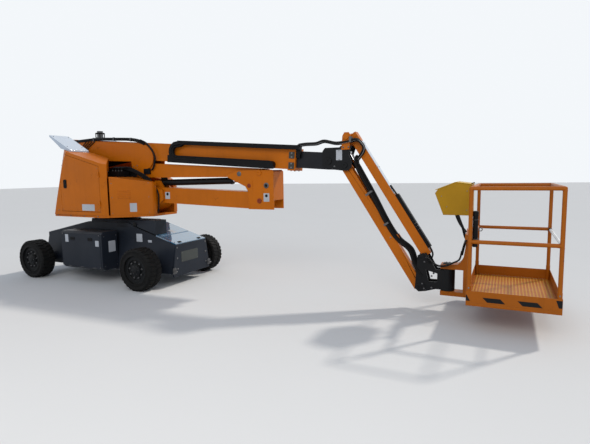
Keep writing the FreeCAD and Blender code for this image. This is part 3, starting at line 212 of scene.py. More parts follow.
ORANGE = (0.46, 0.116, 0.001)
M = {
    "orange": paint("orange_paint", ORANGE, 0.38, 0.05, 0.05, 0.10, 0.55),
    "rail": paint("rail_paint", (0.34, 0.090, 0.003), 0.42, 0.04, 0.05, 0.12, 0.6),
    "chassis": paint("chassis_paint", (0.013, 0.017, 0.025), 0.42, 0.08, 0.07, 0.16, 0.5),
    # the lid's blue base under a mirror coat: painted sky reflection
    "lid": paint("lid_gloss", (0.030, 0.120, 0.220), 0.12, 1.0, 0.01, 0.10, 0.3, 0.04),
    "black": paint("black_paint", (0.0045, 0.005, 0.006), 0.42, 0.08, 0.05, 0.2, 0.4),
    "grey": paint("dark_grey_paint", (0.009, 0.010, 0.013), 0.42, 0.08, 0.06, 0.15, 0.5),
    "weight": paint("weight_paint", (0.014, 0.017, 0.023), 0.5, 0.05, 0.12, 0.18, 0.7),
    "rim": paint("rim_paint", (0.006, 0.007, 0.008), 0.52, 0.05, 0.06, 0.2, 0.8),
    # pale blue-white on the hood caps and on the upper arm's strip: painted sky glare
    "cap": plastic("cap_white", (0.40, 0.47, 0.56), 0.14, 300, 0.12, 0.05, 0.8),
    "console": plastic("console_yellow", (0.36, 0.185, 0.003), 0.42, 420, 0.08, 0.08, 0.1),
    # a paler copy of the console yellow for its top: painted light from above
    "console_lit_top": plastic("lit_top_console_yellow", (0.50, 0.30, 0.010), 0.40, 420, 0.08, 0.08, 0.1),
    "chain": plastic("chain_plastic", (0.003, 0.0032, 0.004), 0.46, 500, 0.04, 0.2),
    "trim": plastic("black_trim", (0.003, 0.003, 0.0038), 0.5, 600, 0.04, 0.2),
    "chrome": metal("rod_chrome", (0.70, 0.71, 0.73), 0.12, 0.05),
    "steel": metal("dark_steel", (0.12, 0.12, 0.125), 0.46, 0.45),
    "bolt": metal("bolt_zinc", (0.20, 0.20, 0.205), 0.42, 0.35),
    "bar": metal("bar_aluminium", (0.60, 0.61, 0.62), 0.34, 0.08),
    "tyre": rubber("tyre_rubber", (0.0042, 0.0044, 0.0046), 0.05),
    "hose": rubber("hose_rubber", (0.003, 0.003, 0.0034), 0.03, 0.50),
    "hose_grey": rubber("hose_sleeve", (0.22, 0.23, 0.24), 0.2, 0.55),
    "label": plastic("blank_label", (0.42, 0.44, 0.47), 0.40, 260, 0.2, 0.1),
    "plate": plastic("blank_plate_grey", (0.060, 0.066, 0.062), 0.45, 260, 0.1, 0.1),
    "deck": paint("deck_paint", (0.46, 0.215, 0.022), 0.5, 0.05, 0.10, 0.14, 0.8),
    "red": paint("dull_red", (0.20, 0.030, 0.010), 0.45, 0.1, 0.1, 0.15, 0.6),
    "dome": plastic("beacon_dome", (0.016, 0.018, 0.022), 0.12, 120, 0.05, 0.05, 0.9),
    "pad": plastic("wear_pad", (0.055, 0.052, 0.045), 0.5, 300, 0.4, 0.15),
}

# looks of the solids that are not plain orange, tyre or rim
looks = {
    "chassis": "chassis_frame battery_box_right battery_box_left charger_housing",
    "black": "slew_ring riser_cylinder boom_cylinder jib_knuckle jib_cylinder platform_bracket",
    "steel": "steer_knuckle_left steer_knuckle_right rear_hub_left rear_hub_right",
    "chrome": "riser_rod boom_rod jib_rod",
    "chain": "chain_tray chain_bend chain_channel",
    "rail": "platform_floor toe_boards guard_rails platform_mount",
    "cap": "hood_cap_right hood_cap_left", "lid": "front_lid", "weight": "counterweight", "grey": "inner_boom",
    "bar": "entry_bar", "console": "control_console", "dome": "beacon",
}
node_look = {name: look for look, names in looks.items() for name in names.split()}
BEVELS = {"beacon": 0.012, "lower_riser": 0.0, "guard_rails": 0.0, "entry_bar": 0.001, "toe_boards": 0.0012}
SOFT_EDGE = 0.003
EDGE_ANGLE = 32.0


def bevel(obj, width, degrees):
    b = obj.modifiers.new("bevel", "BEVEL")
    b.width = width
    b.segments = 2
    b.limit_method = "ANGLE"
    b.angle_limit = math.radians(degrees)
    b.harden_normals = True


def soften(obj, width):
    """Welds the CAD mesh and rounds its edges, or keeps them sharp where the width is nothing."""
    weld = obj.modifiers.new("weld", "WELD")
    weld.merge_threshold = 0.00002
    if width > 0:
        bevel(obj, width, EDGE_ANGLE)
    else:
        split = obj.modifiers.new("edges", "EDGE_SPLIT")
        split.split_angle = math.radians(EDGE_ANGLE)
    for p in obj.data.polygons:
        p.use_smooth = True
    m = obj.modifiers.new("normals", "WEIGHTED_NORMAL")
    m.keep_sharp = True


for name, obj in nodes.items():
    kind = name.split("_")[0]
    look = node_look.get(name, kind if kind in ("tyre", "rim") else "orange")
    obj.data.materials.clear()
    obj.data.materials.append(M[look])
    soften(obj, BEVELS.get(name, SOFT_EDGE))

# Mesh helpers


def make_object(name, verts, faces, look, sharp, width, degrees):
    """An object with outward normals, smooth between its sharp edges, which get a bevel of this width."""
    mesh = bpy.data.meshes.new(name)
    mesh.from_pydata(verts, [], faces)
    bm = bmesh.new()
    bm.from_mesh(mesh)
    bmesh.ops.recalc_face_normals(bm, faces=bm.faces)
    bm.to_mesh(mesh)
    bm.free()
    for p in mesh.polygons:
        p.use_smooth = True
    mesh.set_sharp_from_angle(angle=math.radians(sharp))
    mesh.materials.append(M[look])
    obj = bpy.data.objects.new(name, mesh)
    scene.collection.objects.link(obj)
    if width > 0:
        bevel(obj, width, degrees)
    return obj


class Frame:
    """A place with directions along, across (left) and up."""

    def __init__(self, o, along, up):
        self.o = Vector(o)
        self.u = Vector(along).normalized()
        self.w = Vector(up).normalized()
        self.v = self.w.cross(self.u)

    def p(self, a, b=0.0, c=0.0):
        return self.o + self.u * a + self.v * b + self.w * c

    def run(self, *places):
        return [self.p(*place) for place in places]


def beam_frame(origin, start, end):
    """A frame in the middle plane at origin, along the line from start to end; all three are pairs of x and z."""
    dx, dz = end[0] - start[0], end[1] - start[1]
    return Frame((origin[0], 0, origin[1]), (dx, 0, dz), (-dz, 0, dx))


def slope_frame(x, z, degrees):
    a = math.radians(degrees)
    return beam_frame((x, z), (0, 0), (math.cos(a), math.sin(a)))


def circle(centre, a, b, r, n, turn=0.0):
    angles = [turn + 2 * math.pi * i / n for i in range(n)]
    return [centre + a * (r * math.cos(t)) + b * (r * math.sin(t)) for t in angles]


def rounded(centre, u, v, w, h, r, k):
    """The outline of a rectangle with rounded corners."""
    pts = []
    for sx, sy, start in ((1, 1, 0), (-1, 1, 90), (-1, -1, 180), (1, -1, 270)):
        for i in range(k + 1):
            a = math.radians(start + 90 * i / k)
            across_u = sx * (w / 2 - r) + r * math.cos(a)
            across_v = sy * (h / 2 - r) + r * math.sin(a)
            pts.append(centre + u * across_u + v * across_v)
    return pts


def smooth_path(points, k):
    """A smooth curve through the points, with k steps between each two."""
    pts = [Vector(p) for p in points]
    out = []
    for i in range(len(pts) - 1):
        p0, p1, p2, p3 = pts[max(i - 1, 0)], pts[i], pts[i + 1], pts[min(i + 2, len(pts) - 1)]
        for j in range(k):
            t = j / k
            out.append(0.5 * ((2 * p1) + (p2 - p0) * t + (2 * p0 - 5 * p1 + 4 * p2 - p3) * t * t
                              + (3 * p1 - p0 - 3 * p2 + p3) * t ** 3))
    out.append(pts[-1])
    return out


class Batch:
    """Many small solids of one material on one body, made into a single mesh."""

    def __init__(self, name, mat, body, width=0.0):
        self.name, self.mat, self.body, self.width = name, mat, body, width
        self.verts, self.faces = [], []

    def loft(self, rings, closed=False):
        base, n, m = len(self.verts), len(rings[0]), len(rings)
        for ring in rings:
            self.verts.extend(tuple(p) for p in ring)
        for k in range(m if closed else m - 1):
            a, b = base + k * n, base + ((k + 1) % m) * n
            for i in range(n):
                j = (i + 1) % n
                self.faces.append((a + i, a + j, b + j, b + i))
        if not closed:
            self.faces.append(tuple(base + i for i in reversed(range(n))))
            self.faces.append(tuple(base + (m - 1) * n + i for i in range(n)))

    def turned(self, start, axis, profile, n=28, turn=0.0):
        """A turned piece: pairs of distance along the axis and radius."""
        axis = Vector(axis).normalized()
        ref = Vector((0, 0, 1)) if abs(axis.z) < 0.9 else Vector((1, 0, 0))
        a = axis.cross(ref).normalized()
        b = axis.cross(a)
        self.loft([circle(Vector(start) + axis * d, a, b, max(r, 1e-5), n, turn) for d, r in profile])

    def disc(self, start, axis, r, straight, height, top, n=28, turn=0.0):
        """A disc with radius r up to straight, narrowed to the radius top at its height."""
        self.turned(start, axis, [(0, r), (straight, r), (height, top)], n, turn)

    def rod(self, a, b, r, n=20, ch=0.0):
        """A round bar from a to b with chamfered ends."""
        a, b = Vector(a), Vector(b)
        size = (b - a).length
        ends = [(0, r - ch), (ch, r), (size - ch, r), (size, r - ch)] if ch > 0 else [(0, r), (size, r)]
        self.turned(a, b - a, ends, n)

    def bolt(self, p, axis, r=0.008, washer=True):
        p, axis = Vector(p), Vector(axis).normalized()
        turn = rng.uniform(0, 1)
        t = 0.0
        if washer:
            self.turned(p - axis * 0.0006, axis, [(0, r * 1.45), (r * 0.28, r * 1.45), (r * 0.32, r * 1.35)], 20)
            t = r * 0.3
        self.turned(p + axis * (t - 0.0004), axis, [(0, r), (r * 0.62, r), (r * 0.72, r * 0.82)], 6, turn)
        self.turned(p + axis * (t + r * 0.6), axis, [(0, r * 0.55), (r * 0.35, r * 0.5), (r * 0.42, r * 0.4)], 12)

    def cap_screw(self, p, axis, r=0.008):
        p, axis = Vector(p), Vector(axis).normalized()
        shape = ((0, 1), (0.7, 1), (0.85, 0.8), (0.85, 0.45), (0.5, 0.42))
        self.turned(p - axis * 0.0005, axis, [(r * d, r * k) for d, k in shape], 18)

    def prism(self, outline, offset):
        pts = [Vector(p) for p in outline]
        self.loft([pts, [p + Vector(offset) for p in pts]])

    def plate(self, f, outline, b, offset):
        """A flat piece in frame f at b across, whose outline is pairs of along and up."""
        self.prism([f.p(a, b, c) for a, c in outline], offset)

    def block(self, f, a, b, c):
        """A block in frame f between the pairs a (along), b (across) and c (up)."""
        self.plate(f, [(a[0], c[0]), (a[1], c[0]), (a[1], c[1]), (a[0], c[1])], b[0], f.v * (b[1] - b[0]))

    def pad(self, centre, u, v, w, h, t, r=0.006):
        """A flat piece with rounded corners; its thickness t goes along u cross v."""
        u, v = Vector(u).normalized(), Vector(v).normalized()
        r = min(r, w / 2 - 1e-4, h / 2 - 1e-4)
        self.prism(rounded(Vector(centre), u, v, w, h, r, 4), u.cross(v) * t)

    def frame_pad(self, centre, u, v, w, h, t, rim, r):
        """A raised rounded rim with an open middle."""
        n = u.cross(v)
        inner = max(r - rim, 0.002)
        loops = ((0, r, -0.001), (0, r, t), (2 * rim, inner, t), (2 * rim, inner, -0.001))
        self.loft([rounded(Vector(centre) + n * lift, u, v, w - less, h - less, rr, 5) for less, rr, lift in loops],
                  closed=True)

    def tube(self, points, r, n=10, k=8):
        """A round tube along a smooth path."""
        path = smooth_path(points, k)
        a = (path[1] - path[0]).normalized().orthogonal().normalized()
        rings = []
        for i, p in enumerate(path):
            t = (path[min(i + 1, len(path) - 1)] - path[max(i - 1, 0)]).normalized()
            a = (a - t * a.dot(t)).normalized()
            rings.append(circle(p, a, t.cross(a), r, n))
        self.loft(rings)

    def torus(self, centre, axis, big, small, n=36, m=10):
        axis = Vector(axis).normalized()
        a = axis.orthogonal().normalized()
        spokes = circle(Vector((0, 0, 0)), a, axis.cross(a), 1.0, n)
        self.loft([circle(Vector(centre) + d * big, d, axis, small, m) for d in spokes], closed=True)

    def weld(self, a, b, r=0.004):
        """A weld bead: a slightly uneven run along a seam."""
        a, b = Vector(a), Vector(b)
        steps = max(4, int((b - a).length / 0.02))
        t = (b - a).normalized()
        u = t.orthogonal().normalized()
        w = t.cross(u)
        spread = [r * (0.85 + 0.3 * rng.random()) for i in range(steps + 1)]
        self.loft([circle(a.lerp(b, i / steps), u, w, radius, 6) for i, radius in enumerate(spread)])

    def seam(self, f, a, b, low, high, r=0.003):
        """A weld bead up the wall at a along and b across in frame f."""
        self.weld(f.p(a, b, low), f.p(a, b, high), r)

    def build(self, ride=True, sharp=35, degrees=40):
        obj = make_object(self.name, self.verts, self.faces, self.mat, sharp, self.width, degrees)
        if ride:
            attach(obj, self.body)
        return obj


class Kit:
    """Batches on one body, by keys that are parts of their names; each key gives a look or a look and a bevel."""

    def __init__(self, body, prefix="", suffix="", **wanted):
        self.batches = []
        for key, look in wanted.items():
            mat, width = look if isinstance(look, tuple) else (look, 0.0)
            batch = Batch(prefix + key + suffix, mat, body, width)
            setattr(self, key, batch)
            self.batches.append(batch)

    def build(self):
        for batch in self.batches:
            batch.build()


X, Y, Z = Vector((1, 0, 0)), Vector((0, 1, 0)), Vector((0, 0, 1))
level = Frame((0, 0, 0), X, Z)


def out_y(side):
    """Directions for a piece on a wall that faces left (1) or right (-1): across and up, so that it faces out."""
    return (-X if side > 0 else X), Z


def pin_end(head, x, z, side, y, r, bolts=None, turn=0):
    """The end of a pin on a plate: a head with a centre hole and, with bolts, a keeper plate at a turn round it."""
    d = Y * side
    p = Vector((x, side * y, z))
    profile = [(0, r), (0.010, r), (0.013, r - 0.003), (0.013, r * 0.35), (0.008, r * 0.30)]
    head.turned(p - d * 0.002, d, profile, 32)
    if bolts:
        a = math.radians(turn)
        u = Vector((math.cos(a), 0, math.sin(a)))
        w = d.cross(u)
        c = p + u * (r + 0.004)
        head.pad(c, u, w, 0.030, r * 2.1, 0.008)
        for k in (-1, 1):
            bolts.bolt(c + w * (k * r * 0.8) + d * 0.008, d, 0.006)


trees = {}


def surface(node, start, way):
    """Where a line from start meets a node's surface, and the direction out of the surface there."""
    if node not in trees:
        obj = nodes[node]
        points = [obj.matrix_world @ vert.co for vert in obj.data.vertices]
        trees[node] = BVHTree.FromPolygons(points, [tuple(face.vertices) for face in obj.data.polygons])
    place, normal, index, distance = trees[node].ray_cast(Vector(start), Vector(way))
    return place, normal if normal.dot(Vector(way)) < 0 else -normal


def on_side(node, x, z, side):
    return surface(node, (x, side * 2.0, z), (0, -side, 0))


def across(n):
    """Directions across and up on a surface that faces n."""
    v = (Z - n * n.z).normalized()
    return v.cross(n), v


def across(n):
    """Directions across and up on a surface that faces n."""
    v = (Z - n * n.z).normalized()
    return v.cross(n), v


# Wheels

WHEEL_Y, WHEEL_R = 0.645, 0.27
TREAD_R, GROOVE_R, HALF_WIDTH = 0.2700, 0.2610, 0.105
PITCHES, SKEW = 30, 0.32
LUG = (0.0, 0.05, 0.60, 0.65)
DEPTH = TREAD_R - GROOVE_R
# half of the tyre's section: distance from the middle, radius, depth between the lugs and whether it turns with them
SECTION = [(0.1030, 0.1752, 0, 0), (0.1050, 0.1850, 0, 0), (0.1005, 0.1920, 0, 0), (0.0985, 0.2150, 0, 0),
           (0.1000, 0.2290, 0, 0), (0.1035, 0.2330, 0, 0), (0.1050, 0.2390, 0.0010, 1), (0.1020, 0.2500, 0.0040, 1),
           (0.0960, 0.2600, 0.0070, 1), (0.0860, TREAD_R, DEPTH, 1), (0.0500, TREAD_R, DEPTH, 1),
           (0.0120, TREAD_R, DEPTH, 1), (0.0075, GROOVE_R + 0.001, 0.0005, 1)]
HUB = [(-0.001, 0.062), (0.004, 0.062), (0.006, 0.058), (0.008, 0.040), (0.016, 0.036), (0.018, 0.030),
       (0.018, 0.006), (0.014, 0.004)]


def make_tyre(name, x, side):
    """A tyre with skew lugs on both halves, half a pitch apart."""
    centre = Vector((x, side * WHEEL_Y, WHEEL_R))
    rows = [(*row, 0.0) for row in SECTION] + [(0.0, GROOVE_R, 0, 0, 0.25)]
    rows += [(-w, *row, 0.5) for w, *row in reversed(SECTION)]
    rings = []
    for w, r, deep, skewed, shift in rows:
        skew = SKEW * (abs(w) / HALF_WIDTH) if skewed else SKEW
        ring = []
        for k, (f, share) in product(range(PITCHES), enumerate(LUG)):
            a = (k + share + shift + skew) * 2 * math.pi / PITCHES
            rr = r if f in (1, 2) else r - deep
            ring.append(centre + Vector((rr * math.cos(a), side * w, rr * math.sin(a))))
        rings.append(ring)
    tyre = Batch(name, "tyre", None, 0.0016)
    tyre.loft(rings, closed=True)
    return tyre.build(ride=False, sharp=38, degrees=38)


for (end, wheel_x), (side_name, side) in product((("front", 1.0), ("rear", -1.0)), SIDES):
    place = "%s_%s" % (end, side_name)
    wheel = "wheel_" + place
    tyre = make_tyre("dressed_tyre_" + place, wheel_x, side)
    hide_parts("tyre_" + place)
    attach(tyre, wheel)
    kit = Kit(wheel, suffix="_" + place, wheel_nuts=("steel", 0.0008), hub_trim=("rim", 0.001))
    nuts, hub = kit.wheel_nuts, kit.hub_trim
    d = Y * side
    base = Vector((wheel_x, side * 0.708, WHEEL_R))
    face = base + d * 0.020
    for k, spot in enumerate(circle(base, X, Z, 0.103, 9, 0.2)):
        hub.disc(spot - d * 0.001, d, 0.019, 0.004, 0.005, 0.017, 20)
        nuts.disc(spot + d * 0.003, d, 0.0125, 0.013, 0.016, 0.009, 6, 2 * math.pi * k / 9 + 0.2)
        nuts.disc(spot + d * 0.016, d, 0.007, 0.008, 0.009, 0.005, 12)
    hub.turned(face, d, HUB, 36)
    for spot in circle(face + d * 0.006, X, Z, 0.050, 6):
        nuts.bolt(spot, d, 0.005, False)
    hub.torus(base + d * 0.012, Y, 0.1335, 0.0035, 60, 8)
    hub.torus(base + d * 0.0155, Y, 0.170, 0.0045, 72, 8)
    for spot in circle(base - d * 0.001, X, Z, 0.118, 4, math.pi / 4):
        hub.disc(spot, d, 0.006, 0.003, 0.004, 0.004, 14)
    kit.build()

# Chassis


def label(batch, x, y, z, side, w, h, r=0.004, t=0.0006):
    """A blank plate on a wall that faces left or right."""
    u, v = out_y(side)
    batch.pad((x, side * (y - 0.0003), z), u, v, w, h, t + 0.0003, r)


FRONT_X, PLATE_Y, PLATE_Z, BOX_Y = 1.30, -0.047, 0.3715, 0.640
EYE = [(-0.035, -0.035), (0.035, -0.035), (0.035, 0.03), (0.02, 0.045), (-0.02, 0.045), (-0.035, 0.03)]
chassis = Kit("chassis", "chassis_", labels="label", front_plate=("plate", 0.0004), bolts="bolt",
              trim=("chassis", 0.0015), black_parts=("trim", 0.001), steel_parts=("steel", 0.0012))
chassis.front_plate.pad((FRONT_X - 0.0003, PLATE_Y, PLATE_Z), Y, Z, 0.342, 0.138, 0.003, 0.008)
for y, z in product((-0.295, 0.295), (0.225, 0.365, 0.505)):
    chassis.bolts.bolt((FRONT_X, y, z), X, 0.008)
for dy, dz in product((-0.155, 0.155), (-0.052, 0.052)):
    chassis.bolts.cap_screw((FRONT_X + 0.0025, PLATE_Y + dy, PLATE_Z + dz), X, 0.004)
for side in BOTH:
    # towing and lashing eyes on the ends
    for end_x, way in ((FRONT_X, X), (-1.18, -X)):
        foot = Frame((end_x, side * 0.36, 0.205), Y, Z)
        chassis.steel_parts.plate(foot, EYE, 0, way * 0.008)
        chassis.steel_parts.torus(foot.o + way * 0.013, X * 0.2 + Z, 0.024, 0.007, 28, 10)
    # side box: door panel, latches, hinges and blank plates
    u, v = out_y(side)
    outer, under = side * (BOX_Y + 0.004), side * (BOX_Y + 0.0035)
    chassis.trim.pad((-0.0625, side * (BOX_Y - 0.0005), 0.4425), u, v, 0.735, 0.465, 0.0045, 0.012)
    for x in (-0.22, 0.12):
        chassis.black_parts.frame_pad((x, outer, 0.600), u, v, 0.085, 0.042, 0.004, 0.007, 0.012)
        chassis.black_parts.pad((x, under, 0.600), u, v, 0.066, 0.026, 0.004)
    for x in (-0.30, -0.06, 0.18):
        chassis.steel_parts.rod((x - 0.03, outer, 0.214), (x + 0.03, outer, 0.214), 0.0055, 14, 0.001)
        chassis.trim.pad((x, under, 0.230), u, v, 0.058, 0.030, 0.0025, 0.004)
    label(chassis.labels, -0.337, BOX_Y + 0.004, 0.600 if side < 0 else 0.44, side, 0.062, 0.105)
    label(chassis.labels, 0.248, BOX_Y + 0.004, 0.55, side, 0.066, 0.077)
    for x, z in product((-0.4145, 0.2895), (0.225, 0.66)):
        chassis.bolts.cap_screw((x, outer, z), Y * side, 0.006)
    # front and rear faces of the side box
    chassis.labels.pad((0.3297, side * 0.4715, 0.498), Y, Z, 0.115, 0.150, 0.001, 0.008)
    for y, z in product((0.40, 0.60), (0.24, 0.64)):
        chassis.bolts.cap_screw((0.330, side * y, z), X, 0.006)
        chassis.bolts.cap_screw((-0.455, side * y, z), -X, 0.006)
    for k in range(6):
        chassis.black_parts.pad((-0.4545, side * 0.508, 0.40 + k * 0.028), -Y, Z, 0.15, 0.010, 0.0012, 0.004)
# plates and bolts on the chassis sides above the front axle
for side in BOTH:
    for x in (0.47, 0.98):
        chassis.bolts.bolt((x, side * 0.310, 0.47), Y * side, 0.007)
    label(chassis.labels, 0.6715, 0.310, 0.583, side, 0.105, 0.155)
    label(chassis.labels, 0.8565, 0.310, 0.552, side, 0.067, 0.064)
# slewing ring: a bolted flange, a grease groove and the teeth
TEETH = 72
TOOTH = ((0.0, 0.270), (0.25, 0.278), (0.55, 0.278), (0.8, 0.270))
flange = Batch("slew_ring_flange", "black", "chassis", 0.0012)
flange.turned((0, 0, 0.7995), Z, [(0, 0.300), (0.014, 0.300), (0.016, 0.298), (0.016, 0.262)], TEETH)
for spot in circle(Z * 0.8155, X, Y, 0.285, 24):
    chassis.bolts.bolt(spot, Z, 0.007)
flange.torus((0, 0, 0.846), Z, 0.2705, 0.006, 96, 8)
teeth = [(r, 2 * math.pi * (k + share) / TEETH) for k in range(TEETH) for share, r in TOOTH]
flange.prism([(r * math.cos(a), r * math.sin(a), 0.856) for r, a in teeth], Z * 0.028)
flange.build()
# charger housing: ribs and a round plug cover
charger = Batch("charger_details", "black", "chassis", 0.001)
for k in range(9):
    charger.pad((0.28 + k * 0.022, -0.3097, 0.780), X, Z, 0.010, 0.085, 0.0014, 0.004)
cover = [(0, 0.030), (0.007, 0.030), (0.009, 0.027), (0.009, 0.012), (0.013, 0.010)]
charger.turned((0.60, -0.308, 0.780), -Y, cover, 32)
charger.build()
# pipes under the chassis
for side in BOTH:
    pipe = ((0.85, 0.22, 0.160), (0.40, 0.26, 0.150), (0.0, 0.30, 0.152), (-0.6, 0.28, 0.152))
    chassis.steel_parts.tube([(x, side * y, z) for x, y, z in pipe], 0.008)
chassis.build()
# steering knuckles: king-pin caps with grease nipples
for side_name, side in SIDES:
    king = Batch("knuckle_trim_" + side_name, "steel", "knuckle_" + side_name, 0.001)
    for z, way in ((0.350, Z), (0.190, -Z)):
        king.disc((1.0, side * 0.45, z), way, 0.030, 0.006, 0.009, 0.026)
    nipple = [(0, 0.006), (0.006, 0.005), (0.008, 0.003), (0.011, 0.0035)]
    king.turned((1.0, side * 0.45, 0.359), Z, nipple, 12)
    king.build()
# the lid: a pressed line, latches and a blank plate
lid_f = slope_frame(0.62, 0.7582, -16.63)
lid = Kit("front_lid", "lid_", raised_lines=("lid", 0.0012), plate="label", latches=("trim", 0.0008), screws="bolt")
for a in (0.40, 0.415):
    lid.raised_lines.block(lid_f, (a, a + 0.006), (-0.28, 0.28), (-0.001, 0.003))
lid.plate.pad(lid_f.p(0.33, 0.045, -0.0003), lid_f.u, lid_f.v, 0.105, 0.075, 0.0012, 0.005)
for y in (-0.20, 0.20):
    lid.latches.pad(lid_f.p(0.672, y, -0.0005), lid_f.u, lid_f.v, 0.036, 0.060, 0.005, 0.008)
    lid.latches.pad(lid_f.p(0.672, y, 0.004), lid_f.u, lid_f.v, 0.018, 0.040, 0.006)
for a, y in ((0.40, -0.285), (0.40, 0.285), (0.66, -0.285), (0.66, 0.285), (0.06, 0.02), (0.06, 0.285)):
    lid.screws.cap_screw(lid_f.p(a, y), lid_f.w, 0.006)
lid.build()

# Turret


def cover_wall(side):
    """The slanted side of the middle cover."""
    return Frame((0.453, side * 0.575, 0), (0.412, -side * 0.325, 0), Z)


def port(batch, place, big, small, height):
    """A hose end that stands on a block."""
    batch.turned(place, Z, [(0, big), (0.012, big), (0.012, small), (height, small)], 12)


turret = Kit("turret", "turret_", labels="label", bolts="bolt", black_parts=("trim", 0.001),
             raised_parts=("orange", 0.0012), hoses="hose", steel_parts=("steel", 0.001))
# outline of the black sheet inside the hood: painted shadow
SHADOW_SHEET = [(-0.05, 1.425), (0.575, 1.425), (0.575, 1.485), (0.30, 1.545), (-0.05, 1.560)]
for side_name, side in SIDES:
    door = "hood_door_" + side_name
    kit = Kit(door, "hood_door_", "_" + side_name, parts=("trim", 0.001), labels="label", screws="bolt")
    # a recessed pull with its lock, on the curved part of the door
    c, n = on_side(door, -0.300, 1.344, side)
    u, v = across(n)
    kit.parts.frame_pad(c, u, v, 0.064, 0.118, 0.005, 0.008, 0.018)
    kit.parts.pad(c - n * 0.001, u, v, 0.052, 0.106, 0.0025, 0.012)
    kit.parts.turned(c - v * 0.026, n, [(0, 0.012), (0.006, 0.012), (0.008, 0.010), (0.008, 0.004)], 24)
    kit.parts.pad(c + v * 0.020 + n * 0.001, u, v, 0.030, 0.040, 0.005)
    label(kit.labels, 0.125, 0.640, 1.030, side, 0.236, 0.086, 0.006, 0.001)
    for x, z in ((-0.37, 1.0), (0.325, 1.0), (-0.37, 1.66), (0.325, 1.54)):
        kit.screws.cap_screw(*on_side(door, x, z, side), 0.005)
    kit.build()
    # bolts on the rear quarter of the hood and screws along its front edge
    hood = "hood_" + side_name
    for z, x in product((0.985, 1.60), (-0.46, -0.64)):
        turret.bolts.bolt(*on_side(hood, x, z, side), 0.006)
    for z in (1.0, 1.25, 1.50):
        turret.bolts.cap_screw(*surface(hood, (1.2, side * 0.45, z), -X), 0.005)
    # middle cover: louvres, a blank plate and screws
    wall = cover_wall(side)
    out = wall.v * side
    for k in range(5):
        p = wall.p(0.098, 0, 1.146 + k * 0.024)
        turret.raised_parts.prism([p, p + Z * 0.010, p + out * 0.006 + Z * 0.001], wall.u * 0.165)
    turret.labels.pad(wall.p(0.290, 0, 1.024) - out * 0.0004, wall.u * -side, Z, 0.088, 0.115, 0.0012, 0.005)
    for a, z in product((0.03, 0.49), (0.955, 1.16, 1.345)):
        turret.bolts.cap_screw(wall.p(a, 0, z), out, 0.005)
    for z in (0.95, 1.30):
        turret.bolts.cap_screw(*surface("front_cover_" + side_name, (1.2, side * 0.195, z), -X), 0.005)
    # screws on the hood cap and bolts along the turret base's edge
    for x, y in product((-0.60, -0.33), (0.31, 0.545)):
        turret.bolts.cap_screw(*surface("hood_cap_" + side_name, (x, side * y, 3.0), -Z), 0.006)
    for x in (-0.52, -0.25, 0.02, 0.29):
        turret.bolts.bolt(*on_side("turret_base", x, 0.913, side), 0.0065)
    # black inner plate, painted shadow in the gap behind the mast's foot above the cover; a valve block and hoses
    # there
    turret.black_parts.plate(level, SHADOW_SHEET, side * 0.197, Y * (side * 0.004))
    turret.black_parts.block(level, (0.20, 0.46), (side * 0.22, side * 0.42), (1.4295, 1.505))
    for k in range(4):
        x, further = 0.235 + k * 0.055, 0.03 * k
        port(turret.steel_parts, (x, side * 0.30, 1.5045), 0.011, 0.008, 0.024)
        route = ((x, 0.30, 1.522), (x + 0.01, 0.295, 1.552), (x + 0.07, 0.265 - 0.01 * k, 1.555),
                 (0.50 + further, 0.225 - 0.006 * k, 1.505), (0.62 + further, 0.192, 1.445),
                 (0.70 + further, 0.162, 1.37), (0.73 + further, 0.158, 1.24))
        turret.hoses.tube([(a, side * b, c) for a, b, c in route], 0.0105)
# a hose that comes out of the turret's front beside the riser
turret.hoses.tube([(0.70, -0.158, 1.335), (0.80, -0.159, 1.310), (0.875, -0.160, 1.255), (0.905, -0.160, 1.17),
                   (0.900, -0.159, 1.08), (0.895, -0.158, 1.00), (0.870, -0.158, 0.940)], 0.0095, 12)
# closing plate between the towers, under the riser
nose = [(0.690, 0.9255), (0.700, 0.9255), (0.944, 1.0895), (0.944, 1.0990)]
turret.raised_parts.plate(level, nose, -0.1165, Y * 0.233)
# control box on the left cover
wall = cover_wall(1)
turret.black_parts.block(wall, (0.15, 0.33), (-0.002, 0.034), (1.255, 1.345))
switch = [(0, 0.008), (0.008, 0.007), (0.010, 0.0045), (0.022, 0.004)]
for k in range(4):
    turret.steel_parts.turned(wall.p(0.175 + k * 0.042, 0.033, 1.315), wall.v, switch, 14)
stop = Batch("turret_stop_button", "red", "turret", 0.001)
button = [(0, 0.009), (0.012, 0.009), (0.012, 0.015), (0.022, 0.015), (0.026, 0.011)]
stop.turned(wall.p(0.24, 0.033, 1.277), wall.v, button, 24)
stop.build()
# counterweight: lifting eyes on top and big bolts on its rear
for y in (-0.13, 0.13):
    top = surface("counterweight", (-0.70, y, 3.0), -Z)[0]
    turret.steel_parts.torus(top + Z * 0.022, X, 0.026, 0.008, 30, 10)
    turret.steel_parts.turned(top - Z * 0.001, Z, [(0, 0.022), (0.006, 0.022), (0.008, 0.016), (0.010, 0.012)], 24)
    for z in (1.02, 1.18, 1.34):
        turret.bolts.bolt(*surface("counterweight", (-2.0, y, z), X), 0.014)
turret.build()
# the beacon's base ring and its guard
BEACON = Vector((-0.49, 0.153, 0))
guard = Batch("beacon_base_ring", "trim", "mast", 0.001)
guard.disc(BEACON + Z * 2.0045, Z, 0.056, 0.010, 0.013, 0.052, 40)
for foot in circle(BEACON + Z * 2.003, X, Y, 0.060, 4, math.pi / 4):
    guard.tube([foot, foot + Z * 0.045, foot + Z * 0.088], 0.007)
guard.torus(BEACON + Z * 2.091, Z, 0.060, 0.009)
guard.build()

# Risers and elbow

# pins in the side view, as x and z
TOWER_PIN, LOWER_PIN, UPPER_PIN, MAST_PIN = (0.56, 1.19), (2.455, 1.118), (2.455, 1.454), (0.49, 1.53)
BOOM_PIN, FOOT_PIN, JIB_PIN, EAR_PIN = (-0.85, 1.885), (-0.64, 1.56), (3.52, 1.52), (3.54, 1.83)

